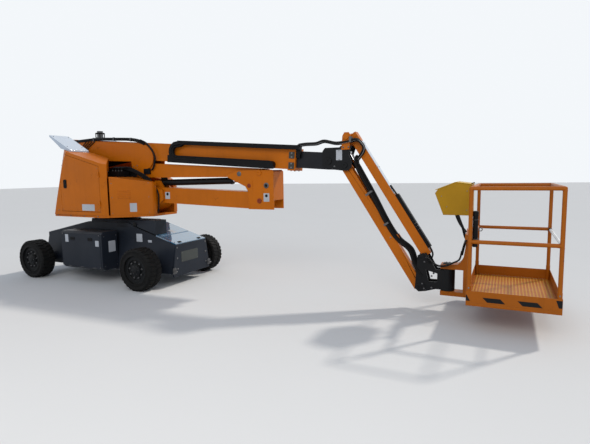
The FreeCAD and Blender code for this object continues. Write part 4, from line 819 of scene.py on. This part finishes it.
riser_f = beam_frame(TOWER_PIN, TOWER_PIN, LOWER_PIN)
riser = Kit("lower_riser", "lower_riser_", labels="label", dark_marks="trim", welds="orange", bolts="bolt",
            hoses="hose", clips=("steel", 0.0006))
for side in BOTH:
    label(riser.labels, 1.0175, 0.110, 1.1715, side, 0.081, 0.093)
    riser.dark_marks.turned((1.0175, side * 0.1100, 1.190), Y * side, [(0, 0.020), (0.0012, 0.020)])
    for a in (0.16, 1.74):
        riser.welds.seam(riser_f, a, side * 0.1095, -0.098, 0.098, 0.0038)
for s in (0.30, 0.62, 0.94, 1.26, 1.58):
    riser.clips.block(riser_f, (s, s + 0.022), (0.1085, 0.1165), (-0.094, -0.060))
    riser.bolts.bolt(riser_f.p(s + 0.011, 0.1165, -0.066), Y, 0.005, False)
for n in (-0.078, -0.090):
    riser.hoses.tube(riser_f.run((0.13, 0.1215, n + 0.01), (0.3, 0.1225, n), (0.94, 0.1225, n - 0.002),
                                 (1.58, 0.1225, n), (1.72, 0.1215, n + 0.004)), 0.0055, 10, 6)
riser.build()

upper_f = beam_frame(UPPER_PIN, MAST_PIN, UPPER_PIN)
upper_welds = Batch("upper_riser_welds", "orange", "upper_riser")
for side, a in product(BOTH, (-0.30, -1.78)):
    upper_welds.seam(upper_f, a, side * 0.0998, -0.048, 0.048, 0.0035)
upper_welds.build()

RING = [(0, 0.034), (0.006, 0.034), (0.008, 0.031), (0.008, 0.020), (0.003, 0.018)]
elbow = Kit("elbow", "elbow_", pin_heads=("steel", 0.0008), labels="label", dark_marks="trim",
            red_marks=("red", 0.0008), welds="orange", pin_caps=("orange", 0.0008))
for side in BOTH:
    d = Y * side
    pin_end(elbow.red_marks, *LOWER_PIN, side, 0.130, 0.030)
    pin_end(elbow.pin_caps, *UPPER_PIN, side, 0.130, 0.036)
    elbow.pin_heads.turned((2.553, side * 0.1290, 1.302), d, RING, 32)
    elbow.dark_marks.disc((2.553, side * 0.1305, 1.302), d, 0.015, 0.006, 0.008, 0.012)
    elbow.pin_heads.disc((2.175, side * 0.1298, 1.445), d, 0.030, 0.004, 0.006, 0.026, 32)
    elbow.red_marks.disc((2.313, side * 0.1298, 1.300), d, 0.025, 0.004, 0.006, 0.021, 32)
    label(elbow.labels, 2.552, 0.130, 1.160, side, 0.078, 0.100)
    elbow.dark_marks.turned((2.552, side * 0.1303, 1.180), d, [(0, 0.018), (0.0014, 0.018)], 24)
    elbow.welds.seam(level, 2.36, side * 0.1295, 1.24, 1.36, 0.004)
elbow.build()

tower = Kit("turret", "tower_", pin_heads=("orange", 0.0008), bolts="bolt")
for side in BOTH:
    pin_end(tower.pin_heads, *TOWER_PIN, side, 0.146, 0.044)
    tower.bolts.bolt((0.40, side * 0.146, 0.975), Y * side, 0.008)
tower.build()

# Mast

mast = Kit("mast", "mast_", pin_heads=("orange", 0.0008), steel_parts=("steel", 0.0008), bolts="bolt", hoses="hose",
           hose_clips=("steel", 0.0006), black_parts=("trim", 0.001), welds="orange")
for side in BOTH:
    pin_end(mast.pin_heads, *BOOM_PIN, side, 0.120, 0.046, mast.bolts, -90)
    pin_end(mast.pin_heads, *MAST_PIN, side, 0.120, 0.040, mast.bolts, 100)
    pin_end(mast.pin_heads, *FOOT_PIN, side, 0.120, 0.034)
    mast.welds.weld((-0.80, side * 0.1195, 1.60), (-0.62, side * 0.1195, 1.83), 0.0035)
route = ((-0.80, 1.955), (-0.439, 1.972), (-0.19, 1.975), (0.10, 1.962), (0.393, 1.945), (0.55, 1.918), (0.66, 1.875))
for y, dz in ((-0.1285, 0.0), (-0.1285, -0.015), (-0.1175, 0.012), (-0.106, 0.014)):
    mast.hoses.tube([(x, y, z + dz) for x, z in route], 0.0080, 10, 6)
mast.hoses.tube([(0.60, -0.132, 1.925), (0.71, -0.134, 1.876), (0.80, -0.135, 1.784), (0.842, -0.134, 1.705),
                 (0.844, -0.132, 1.649), (0.825, -0.130, 1.590), (0.802, -0.127, 1.543), (0.77, -0.124, 1.515)],
                0.012, 12)
for x, z in ((-0.70, 1.961), (-0.30, 1.974), (0.10, 1.962), (0.42, 1.941)):
    mast.hose_clips.pad((x, -0.1195, z), X, Z, 0.026, 0.052, 0.002, 0.004)
    mast.hose_clips.pad((x, -0.1370, z), X, Z, 0.022, 0.050, 0.003, 0.005)
    mast.bolts.bolt((x, -0.140, z), -Y, 0.005, False)
for side in BOTH:
    mast.black_parts.block(level, (0.625, 0.738), (side * 0.108, side * 0.124), (1.465, 1.535))
# manifold block behind the pin, with pipe ends
mast.black_parts.block(level, (-0.60, -0.46), (-0.1405, -0.1195), (1.66, 1.74))
for k in range(4):
    x = -0.585 + k * 0.036
    port(mast.steel_parts, (x, -0.130, 1.7395), 0.008, 0.006, 0.022)
    mast.hoses.tube([(x, -0.130, 1.755), (x, -0.131, 1.80), (-0.55 + k * 0.05, -0.1315, 1.87),
                     (-0.46 + k * 0.06, -0.131, 1.945)], 0.006)
mast.build()

# Boom

TRAY_Y = -0.163
boom_f = slope_frame(*BOOM_PIN, -4.3)
boom = Kit("outer_boom", "boom_", bolts="bolt", wear_pads=("pad", 0.0008), welds="orange")
tray = Kit("outer_boom", "chain_tray_", parts=("chain", 0.0008), slots="trim")
for side in BOTH:
    for n in (0.045, -0.075):
        boom.wear_pads.block(boom_f, (3.706, 3.778), (side * 0.106, side * 0.112), (n - 0.038, n + 0.038))
        for dz in (-0.022, 0.022):
            boom.bolts.bolt(boom_f.p(3.742, side * 0.112, n + dz), Y * side, 0.007)
    boom.welds.seam(boom_f, 3.692, side * 0.0905, -0.11, 0.11, 0.004)
    boom.welds.weld(boom_f.p(0.15, side * 0.0895, -0.117), boom_f.p(0.62, side * 0.0895, -0.117), 0.0035)
for s, y in product((3.72, 3.765), (-0.06, 0.06)):
    boom.bolts.bolt(boom_f.p(s, y, 0.1235), boom_f.w, 0.007)
    boom.bolts.bolt(boom_f.p(s, y, -0.1315), -boom_f.w, 0.007)
for k in range(16):
    slot = boom_f.p(2.02 + k * 0.094, TRAY_Y + 0.0004, -0.079)
    tray.slots.pad(slot, boom_f.u, boom_f.w, 0.052, 0.018, 0.0010, 0.009)
for k, n in product(range(5), (-0.044, -0.113)):
    tray.slots.bolt(boom_f.p(2.06 + k * 0.34, TRAY_Y, n), -Y, 0.006)
tray.parts.block(boom_f, (1.955, 3.485), (TRAY_Y, TRAY_Y - 0.005), (-0.036, -0.030))
boom.build()
tray.build()

# hose chain: its bend's place along and up the boom, the radius of its middle line, its straight runs and one link
BEND_S, BEND_N, BEND_R = 2.09, 0.01675, 0.11625
LOWER_RUN, UPPER_RUN, PITCH = 0.25, 0.90, 0.046
LINK = [(dx * 0.0225, dz * 0.0145) for dx, dz in ((-1, -0.7), (-0.7, -1), (0.7, -1), (1, -0.7), (1, 0.7), (0.7, 1),
                                                  (-0.7, 1), (-1, 0.7))]


def chain_frame(d):
    """A frame on the chain's outer side at a distance d from its lower end."""
    bend = math.pi * BEND_R
    if d < LOWER_RUN:
        s, n, a = BEND_S + LOWER_RUN - d, BEND_N - BEND_R, math.pi
    elif d < LOWER_RUN + bend:
        t = (d - LOWER_RUN) / BEND_R
        s, n, a = BEND_S - BEND_R * math.sin(t), BEND_N - BEND_R * math.cos(t), math.pi - t
    else:
        s, n, a = BEND_S + d - LOWER_RUN - bend, BEND_N + BEND_R, 0.0
    u = boom_f.u * math.cos(a) + boom_f.w * math.sin(a)
    w = boom_f.w * math.cos(a) - boom_f.u * math.sin(a)
    return s, n, Frame(boom_f.p(s, -0.150, n), u, w)


# cables that the chain carries, on the inner side of its links
cables = Batch("hose_chain_cables", "hose", "chain_bend")
for inner, y in product((0.092, 0.066), (-0.156, -0.131)):
    run = [boom_f.p(s, y, BEND_N - inner) for s in (2.40, 2.28, 2.16)]
    for k in range(9):
        t = math.pi * k / 8
        run.append(boom_f.p(BEND_S - inner * math.sin(t), y, BEND_N - inner * math.cos(t)))
    run += boom_f.run((2.15, y, 0.028 + inner), (2.22, y, 0.128), (2.30, y, 0.131))
    cables.tube(run, 0.0115, 10, 4)
cables.build()
# link plates, pivots and cross bars
chain = Kit("chain_bend", "hose_chain_", links=("chain", 0.0006), pivots="trim")
for k in range(int((LOWER_RUN + math.pi * BEND_R + UPPER_RUN) / PITCH)):
    s, n, link = chain_frame(k * PITCH + 0.012)
    thick = 0.0015 if s > 2.12 and n > 0.1 else 0.0025
    chain.links.plate(link, LINK, 0, -Y * thick)
    if n >= 0:
        chain.links.plate(link, LINK, 0.036, Y * 0.0015)
    chain.pivots.disc(link.p(0.0225, 0.0004 - thick), -Y, 0.006, 0.0015, 0.002, 0.004, 12)
    for way in BOTH:
        chain.links.block(link, (-0.007, 0.007), (0.0015, 0.0345), (way * 0.0165, way * 0.0187))
chain.build()
channel = Kit("inner_boom", inner_boom_bolts="trim", chain_channel_slots="trim", chain_channel_lips=("chain", 0.0008))
for k in range(12):
    slot = boom_f.p(2.24 + k * 0.135, -0.1606, 0.135)
    channel.chain_channel_slots.pad(slot, boom_f.u, boom_f.w, 0.060, 0.014, 0.0010, 0.007)
for k in range(7):
    channel.inner_boom_bolts.bolt(boom_f.p(2.17 + k * 0.27, -0.161, 0.135), -Y, 0.0055)
channel.chain_channel_lips.block(boom_f, (2.108, 3.848), (-0.1605, -0.1635), (0.155, 0.1605))
channel.build()

# Knuckle and jib


def loose_hose(name, look, points, r, n, k):
    """A hose that crosses a joint, on no body."""
    hose = Batch(name, look, None)
    hose.tube(points, r, n, k)
    return hose.build(ride=False)


knuckle = Kit("jib_knuckle", "knuckle_", plates="label", pin_heads=("black", 0.0008), ear_caps=("orange", 0.0008),
              bolts="steel")
for side in BOTH:
    d = Y * side
    knuckle.plates.pad((3.4565, side * 0.0902, 1.634), *out_y(side), 0.069, 0.112, 0.003, 0.004)
    pin_end(knuckle.pin_heads, 3.328, 1.571, side, 0.090, 0.040)
    pin_end(knuckle.pin_heads, *JIB_PIN, side, 0.090, 0.032)
    for z in (1.586, 1.682):
        knuckle.bolts.cap_screw((3.4565, side * 0.0925, z), d, 0.005)
    knuckle.bolts.bolt((3.40, side * 0.090, 1.51), d, 0.007)
    cap = [(0, 0.034), (0.008, 0.034), (0.011, 0.030), (0.011, 0.010)]
    knuckle.ear_caps.turned((EAR_PIN[0], side * 0.1035, EAR_PIN[1]), d, cap, 30)
    for x in (3.508, 3.568):
        knuckle.bolts.bolt((x, side * 0.104, 1.715), d, 0.007)
knuckle.build()

# hoses over the knuckle
for k, (dy, dz, r, look) in enumerate(((0.0, 0.002, 0.011, "hose_grey"), (-0.022, 0.004, 0.010, "hose"),
                                       (0.021, 0.014, 0.011, "hose"), (0.040, -0.004, 0.011, "hose"))):
    y = -0.110 + dy
    route = ((2.975, -0.125 + dy * 0.5, 1.752), (3.05, y, 1.762), (3.18, y, 1.764), (3.28, y, 1.786),
             (3.42, y, 1.758), (3.55, y, 1.770), (3.66, y, 1.784), (3.733, y + 0.01, 1.715),
             (3.722, y + 0.02, 1.655), (3.664, y + 0.035, 1.584))
    obj = loose_hose("knuckle_hose_%d" % (k + 1), look, [(a, b, c + dz) for a, b, c in route], r, 12, 8)
    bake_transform(obj)
clamp = Batch("knuckle_hose_clamps", "steel", "jib_knuckle", 0.0008)
for y in (-0.1435, -0.0905):
    clamp.pad((3.60, y, 1.797), X, Z, 0.024, 0.060, 0.003)
clamp.block(level, (3.588, 3.612), (-0.145, -0.088), (1.7655, 1.7700))
clamp.build()

JIB_SLOPE = -57.5
lower_f = slope_frame(*JIB_PIN, JIB_SLOPE)
ear_f = slope_frame(*EAR_PIN, JIB_SLOPE)
# hoses that run down between the two arms
route = ((0.14, 0.092), (0.45, 0.076), (0.783, 0.050), (0.98, 0.060), (1.145, 0.112), (1.306, 0.078), (1.44, 0.088))
for k, (y, dn) in enumerate(((-0.045, 0.012), (-0.045, -0.012), (-0.064, 0.000), (0.045, 0.0), (-0.030, 0.031))):
    run = [(3.650, y * 1.2, 1.610 + dn * 0.5), (3.630, y * 1.1, 1.560 + dn)]
    run += [lower_f.p(s, y, n + dn) for s, n in route]
    obj = loose_hose("jib_hose_%d" % (k + 1), "hose", run, 0.0125, 10, 6)
    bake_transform(obj)
arm = Kit("jib_lower_arm", "jib_", hose_clips=("steel", 0.0006), lower_arm_bolts="bolt", lower_arm_welds="orange")
for s, lift in ((0.40, 0.078), (0.78, 0.050)):
    arm.hose_clips.block(lower_f, (s - 0.012, s + 0.012), (-0.0470, -0.0490), (0.012, lift + 0.026))
    arm.hose_clips.block(lower_f, (s - 0.010, s + 0.010), (-0.0770, -0.0800), (lift - 0.028, lift + 0.026))
for side in BOTH:
    arm.lower_arm_bolts.bolt(lower_f.p(0.93, side * 0.0478, 0.004), Y * side, 0.006)
    for s in (0.06, 1.47):
        arm.lower_arm_welds.seam(lower_f, s, side * 0.0475, -0.060, 0.036)
arm.build()

arm = Kit("jib_upper_arm", "jib_", cable_carrier=("chain", 0.0008), cable_carrier_lines="trim",
          upper_arm_bolts="bolt", upper_arm_welds="orange", upper_arm_cover=("cap", 0.0010), upper_cables="hose")
# a pale strip on the upper arm's top: painted sky reflection
arm.upper_arm_cover.block(ear_f, (0.12, 0.80), (-0.047, 0.047), (0.1015, 0.1045))
for k in range(18):
    s = 0.82 + k * 0.036
    arm.cable_carrier.block(ear_f, (s, s + 0.035), (-0.044, 0.010), (0.1012, 0.1392))
    arm.cable_carrier_lines.disc(ear_f.p(s + 0.0165, -0.0435, 0.120), -Y, 0.0075, 0.002, 0.0025, 0.005, 12)
for s, y in product((0.15, 0.46, 0.77), (-0.036, 0.036)):
    arm.upper_arm_bolts.cap_screw(ear_f.p(s, y, 0.1043), ear_f.w, 0.0045)
for side, s in product(BOTH, (0.05, 1.485)):
    arm.upper_arm_welds.seam(ear_f, s, side * 0.0475, 0.010, 0.098)
for y in (-0.008, -0.026):
    for line in (((0.70, 0.112), (0.75, 0.114), (0.79, 0.116), (0.83, 0.118)),
                 ((1.45, 0.118), (1.50, 0.118), (1.55, 0.104), (1.585, 0.066))):
        arm.upper_cables.tube([ear_f.p(s, y, n) for s, n in line], 0.0075, 10, 6)
arm.build()
# gland rings and ports on the cylinders
for name, foot, eye, share, r in (("riser_cylinder", (0.800, 1.340), (2.475, 1.370), 0.72, 0.042),
                                  ("boom_cylinder", FOOT_PIN, (0.600, 1.735), 0.72, 0.048),
                                  ("jib_cylinder", (4.085, 0.730), (3.545, 1.665), 0.574, 0.026)):
    f = beam_frame(foot, foot, eye)
    gland = math.dist(foot, eye) * share - 0.035
    trim = Batch(name + "_trim", "black", name, 0.0008)
    for start, length, lift in ((gland, 0.024, 0.004), (0.10, 0.018, 0.003)):
        ring = [(0, r - 0.001), (0.001, r + lift), (length - 0.002, r + lift), (length, r - 0.001)]
        trim.turned(f.p(start), f.u, ring, 32)
    trim.build()

# Bracket and platform

TURN_X = 4.610
bracket = Kit("platform_bracket", "bracket_", pin_heads=("black", 0.0008), bolts="steel")
for side in BOTH:
    pin_end(bracket.pin_heads, 4.3394, 0.2338, side, 0.068, 0.034, bracket.bolts, 20)
    pin_end(bracket.pin_heads, 4.3594, 0.5438, side, 0.068, 0.034, bracket.bolts, -20)
    for z in (0.235, 0.36):
        bracket.bolts.bolt((4.46, side * 0.068, z), Y * side, 0.007)
bracket.pin_heads.disc((TURN_X, 0, 0.4845), Z, 0.046, 0.010, 0.014, 0.040, 36)
for spot in circle(Vector((TURN_X, 0, 0.4985)), X, Y, 0.032, 6):
    bracket.bolts.bolt(spot, Z, 0.006, False)
bracket.build()
# hoses over the rotator
for k, (y, r) in enumerate(((-0.080, 0.009), (-0.100, 0.007))):
    route = ((4.395, y + 0.008, 0.60 - k * 0.02), (4.44, y, 0.535), (4.516, y - 0.010, 0.482),
             (4.60, y - 0.022, 0.486), (4.67, y - 0.020, 0.520), (4.727, y, 0.555), (4.748, y + 0.005, 0.640))
    obj = loose_hose("rotator_hose_%d" % (k + 1), "hose", route, r, 10, 8)
    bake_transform(obj)
collar = Batch("bracket_hose_clamp", "trim", "platform_bracket", 0.0008)
collar.block(level, (4.425, 4.45), (-0.112, -0.066), (0.522, 0.528))
collar.block(level, (4.425, 4.45), (-0.072, -0.066), (0.49, 0.56))
collar.build()

REAR_X, FAR_X, HALF, FLOOR_Z = 4.857, 5.557, 0.5965, 0.275
TOE_Y, TOE_X0, TOE_X1 = 0.6183, 4.8352, 5.5788
RAIL_Z = MID_Z, TOP_Z = 0.817, 1.285
platform = Kit("platform", "platform_", stripes="black", bolts="bolt", steel_parts=("steel", 0.0008),
               black_parts=("trim", 0.001), raised_parts=("rail", 0.0012))
# stripes on the toe boards
for side in BOTH:
    shapes = [[(a + 0.022, 0.290), (b + 0.022, 0.290), (b - 0.018, 0.330), (a - 0.018, 0.330)]
              for a, b in ((4.990, 5.133), (5.265, 5.414))]
    shapes += [[(5.552, 0.303), (5.577, 0.303), (5.577, 0.366), (5.530, 0.366)],
               [(4.837, 0.290), (4.872, 0.290), (4.842, 0.345), (4.837, 0.345)]]
    for shape in shapes:
        platform.stripes.plate(level, shape, side * TOE_Y, Y * (side * 0.0012))
stripe = ((-0.050, 0.290), (0.030, 0.290), (0.060, 0.330), (-0.020, 0.330))
for (x, way), k in product(((TOE_X0, -X), (TOE_X1, X)), range(5)):
    platform.stripes.prism([(x, -0.48 + k * 0.24 + dy, z) for dy, z in stripe], way * 0.0012)
# deck: a ribbed sheet, with darker strips between the ribs as painted shade
CORNERS = ((-1, -1), (1, -1), (1, 1), (-1, 1))
RIBS, RIB_PITCH = 24, 0.0292
deck = Kit("platform", "deck_", groove_shade="rail", ribs="deck")
deck.ribs.pad(((REAR_X + FAR_X) / 2, 0, FLOOR_Z - 0.0004), X, Y, 0.695, 1.185, 0.0010, 0.012)
for k in range(RIBS):
    x = REAR_X + 0.011 + k * RIB_PITCH
    deck.ribs.loft([[(x + i * w, j * h, FLOOR_Z + up) for i, j in CORNERS]
                    for w, h, up in ((0.0085, 0.575, 0), (0.0055, 0.572, 0.0045))])
    if k < RIBS - 1:
        # darker strip in the groove between two ribs: painted shade
        deck.groove_shade.pad((x + RIB_PITCH / 2, 0, FLOOR_Z), X, Y, 0.0105, 1.15, 0.0012, 0.001)
deck.build()
# rails: sockets on the deck and weld rings
for x, side in product((REAR_X, FAR_X), BOTH):
    y = side * HALF
    platform.raised_parts.disc((x, y, 0.378), Z, 0.0195, 0.05, 0.052, 0.0170)
    platform.bolts.bolt((x, y + side * 0.0190, 0.405), Y * side, 0.005)
    for z in RAIL_Z:
        platform.raised_parts.torus((x, y, z - 0.018), Z, 0.0175, 0.0028, 24, 8)
for z, side, x in product(RAIL_Z, BOTH, (REAR_X + 0.018, FAR_X - 0.018)):
    platform.raised_parts.torus((x, side * HALF, z), X, 0.0172, 0.0025, 24, 8)
# lanyard points on the rear rails
for y in (-0.38, 0.38):
    platform.steel_parts.rod((REAR_X, y - 0.016, MID_Z), (REAR_X, y + 0.016, MID_Z), 0.0200, 24)
    platform.steel_parts.torus((REAR_X + 0.036, y, MID_Z - 0.005), Y, 0.017, 0.0045, 24, 8)
# sliding sleeves on the entry bar's ends
sleeves = Batch("entry_bar_fittings", "trim", "entry_bar", 0.001)
for side in BOTH:
    sleeve = [(0, 0.0150), (0.003, 0.0165), (0.060, 0.0165), (0.064, 0.0140)]
    sleeves.turned((FAR_X, side * 0.5745, MID_Z), -Y * side, sleeve)
sleeves.build()
# a document tube beside the near rear post
TUBE_X, TUBE_Y = 4.896, -0.573
tube = [(0, 0.019), (0.005, 0.022), (0.27, 0.022), (0.272, 0.0245), (0.312, 0.0245), (0.318, 0.020)]
platform.black_parts.turned((TUBE_X, TUBE_Y, 0.769), Z, tube, 32)
for z in (0.84, 1.01):
    platform.steel_parts.torus((TUBE_X, TUBE_Y, z), Z, 0.0225, 0.0022, 32, 8)
    platform.steel_parts.rod((REAR_X + 0.012, -0.588, z), (TUBE_X - 0.015, TUBE_Y - 0.005, z), 0.005, 12)
# bolts of the mount
for y in (-0.28, -0.16, 0.16, 0.28):
    platform.bolts.bolt((4.8042, y, MID_Z), -X, 0.008)
for z, y in product((0.60, 0.70), (-0.045, 0.045)):
    platform.bolts.bolt((4.7945, y, z), -X, 0.008)
for dx, y in product((-0.04, 0.04), (-0.045, 0.045)):
    platform.bolts.bolt((TURN_X + dx, y, 0.4840), Z, 0.007)
platform.build()

# console: a cover over the controls in a paler copy of the console yellow, painted light on its top; its hinges, a
# latch and screws
console = Kit("platform", "console_", cover=("console_lit_top", 0.0020), screws="bolt", black_parts=("trim", 0.001))
front, ridge, back = (4.5145, 1.2585), (4.6945, 1.3305), (4.8395, 1.3112)
for start, end in ((front, ridge), (ridge, back)):
    console.cover.block(beam_frame(start, start, end), (0, math.dist(start, end)), (-0.304, 0.064), (0, 0.006))
for y, way in ((-0.3005, -Y), (0.0605, Y)):
    for x, z in ((4.62, 1.10), (4.80, 1.07), (4.80, 1.25), (4.57, 1.20)):
        console.screws.cap_screw((x, y, z), way, 0.0045)
console.black_parts.pad((4.5205, -0.12, 1.215), -Y, Z, 0.070, 0.030, 0.008)
for y in (-0.24, 0.0):
    console.black_parts.rod((4.8385, y - 0.03, 1.322), (4.8385, y + 0.03, 1.322), 0.006, 14, 0.001)
console.build()
cable = Batch("console_cable", "hose", "platform")
cable.tube([(4.70, -0.20, 1.045), (4.715, -0.27, 1.035), (4.733, -0.302, 1.000), (4.752, -0.31, 0.95),
            (4.772, -0.31, 0.901), (4.790, -0.30, 0.83), (4.801, -0.26, 0.788), (4.790, -0.18, 0.76),
            (4.775, -0.09, 0.72), (4.760, -0.072, 0.66), (4.748, -0.073, 0.60)], 0.0125, 12)
cable.tube([(4.68, -0.10, 1.045), (4.70, -0.16, 0.99), (4.74, -0.20, 0.92), (4.775, -0.17, 0.87),
            (4.785, -0.12, 0.845)], 0.0100, 12)
cable.build()

# Floor, light and camera

PALE, REACH = (0.62, 0.62, 0.61), 60
g = Graph("floor_pale")
g.finish(mottle(g, PALE, g.noise(0.6, 3, 0.5), 0.3, 0.7, 0.985, 1.0), 0.9, g.bump(g.noise(90, 3, 0.6), 0.03, 0.001))
floor_mesh = bpy.data.meshes.new("floor")
floor_mesh.from_pydata([(i * REACH, j * REACH, 0) for i, j in CORNERS], [], [(0, 1, 2, 3)])
floor = bpy.data.objects.new("floor", floor_mesh)
scene.collection.objects.link(floor)
floor_mesh.materials.append(g.mat)

world = bpy.data.worlds.new("world")
scene.world = world
world.use_nodes = True
sky = Tree(world.node_tree)
soft = sky.add("Background", {"Color": (0.78, 0.86, 1.0), "Strength": 0.62})
seen = sky.add("Background", {"Color": (0.90, 0.93, 0.96), "Strength": 1.0})
ray = sky.add("LightPath").outputs
direct = sky.math("MAXIMUM", ray["Is Camera Ray"], ray["Is Glossy Ray"])
direct = sky.math("MAXIMUM", direct, ray["Is Transmission Ray"])
pick = sky.add("MixShader", {0: direct, 1: soft.outputs[0], 2: seen.outputs[0]})
sky.add("OutputWorld", {0: pick.outputs[0]})


def lamp(name, kind, energy, size, place, aim, color):
    """A sun with an angle as its size, or an area lamp with a pair of sides."""
    data = bpy.data.lights.new(name, kind)
    data.energy = energy
    data.color = color
    if kind == "AREA":
        data.shape = "RECTANGLE"
        data.size, data.size_y = size
    else:
        data.angle = size
    obj = bpy.data.objects.new(name, data)
    scene.collection.objects.link(obj)
    obj.location = place
    obj.rotation_euler = (Vector(aim) - Vector(place)).to_track_quat("-Z", "Y").to_euler()


lamp("sun", "SUN", 2.1, math.radians(4), (6.0, 7.0, 9.0), (0.5, 0.0, 1.0), (1.0, 0.95, 0.88))
lamp("front", "AREA", 290, (6, 4), (4.5, -8.0, 5.5), (2.0, 0.0, 1.0), (1.0, 0.98, 0.95))

# the photograph's width and focal length in pixels, and the camera's place and turn
PHOTO_WIDTH, FOCAL, SENSOR = 590.0, 440.7, 36.0
EYE_PLACE = Vector((5.135, -4.722, 1.424))
azimuth, pitch, roll = math.radians(25.70), math.radians(6.11), math.radians(-0.81)
forward = Vector((-math.sin(azimuth) * math.cos(pitch), math.cos(azimuth) * math.cos(pitch), -math.sin(pitch)))
level_right = Vector((math.cos(azimuth), math.sin(azimuth), 0))
level_up = level_right.cross(forward)
right = level_right * math.cos(roll) + level_up * math.sin(roll)
up = level_up * math.cos(roll) - level_right * math.sin(roll)
cam_data = bpy.data.cameras.new("camera")
cam_data.sensor_width = SENSOR
cam_data.lens = SENSOR * FOCAL / PHOTO_WIDTH
cam_data.clip_start = 0.05
cam_data.clip_end = 200
cam = bpy.data.objects.new("camera", cam_data)
scene.collection.objects.link(cam)
cam.matrix_world = Matrix.Translation(EYE_PLACE) @ Matrix((right, up, -forward)).transposed().to_4x4()
scene.camera = cam
scene.view_settings.view_transform = "Standard"
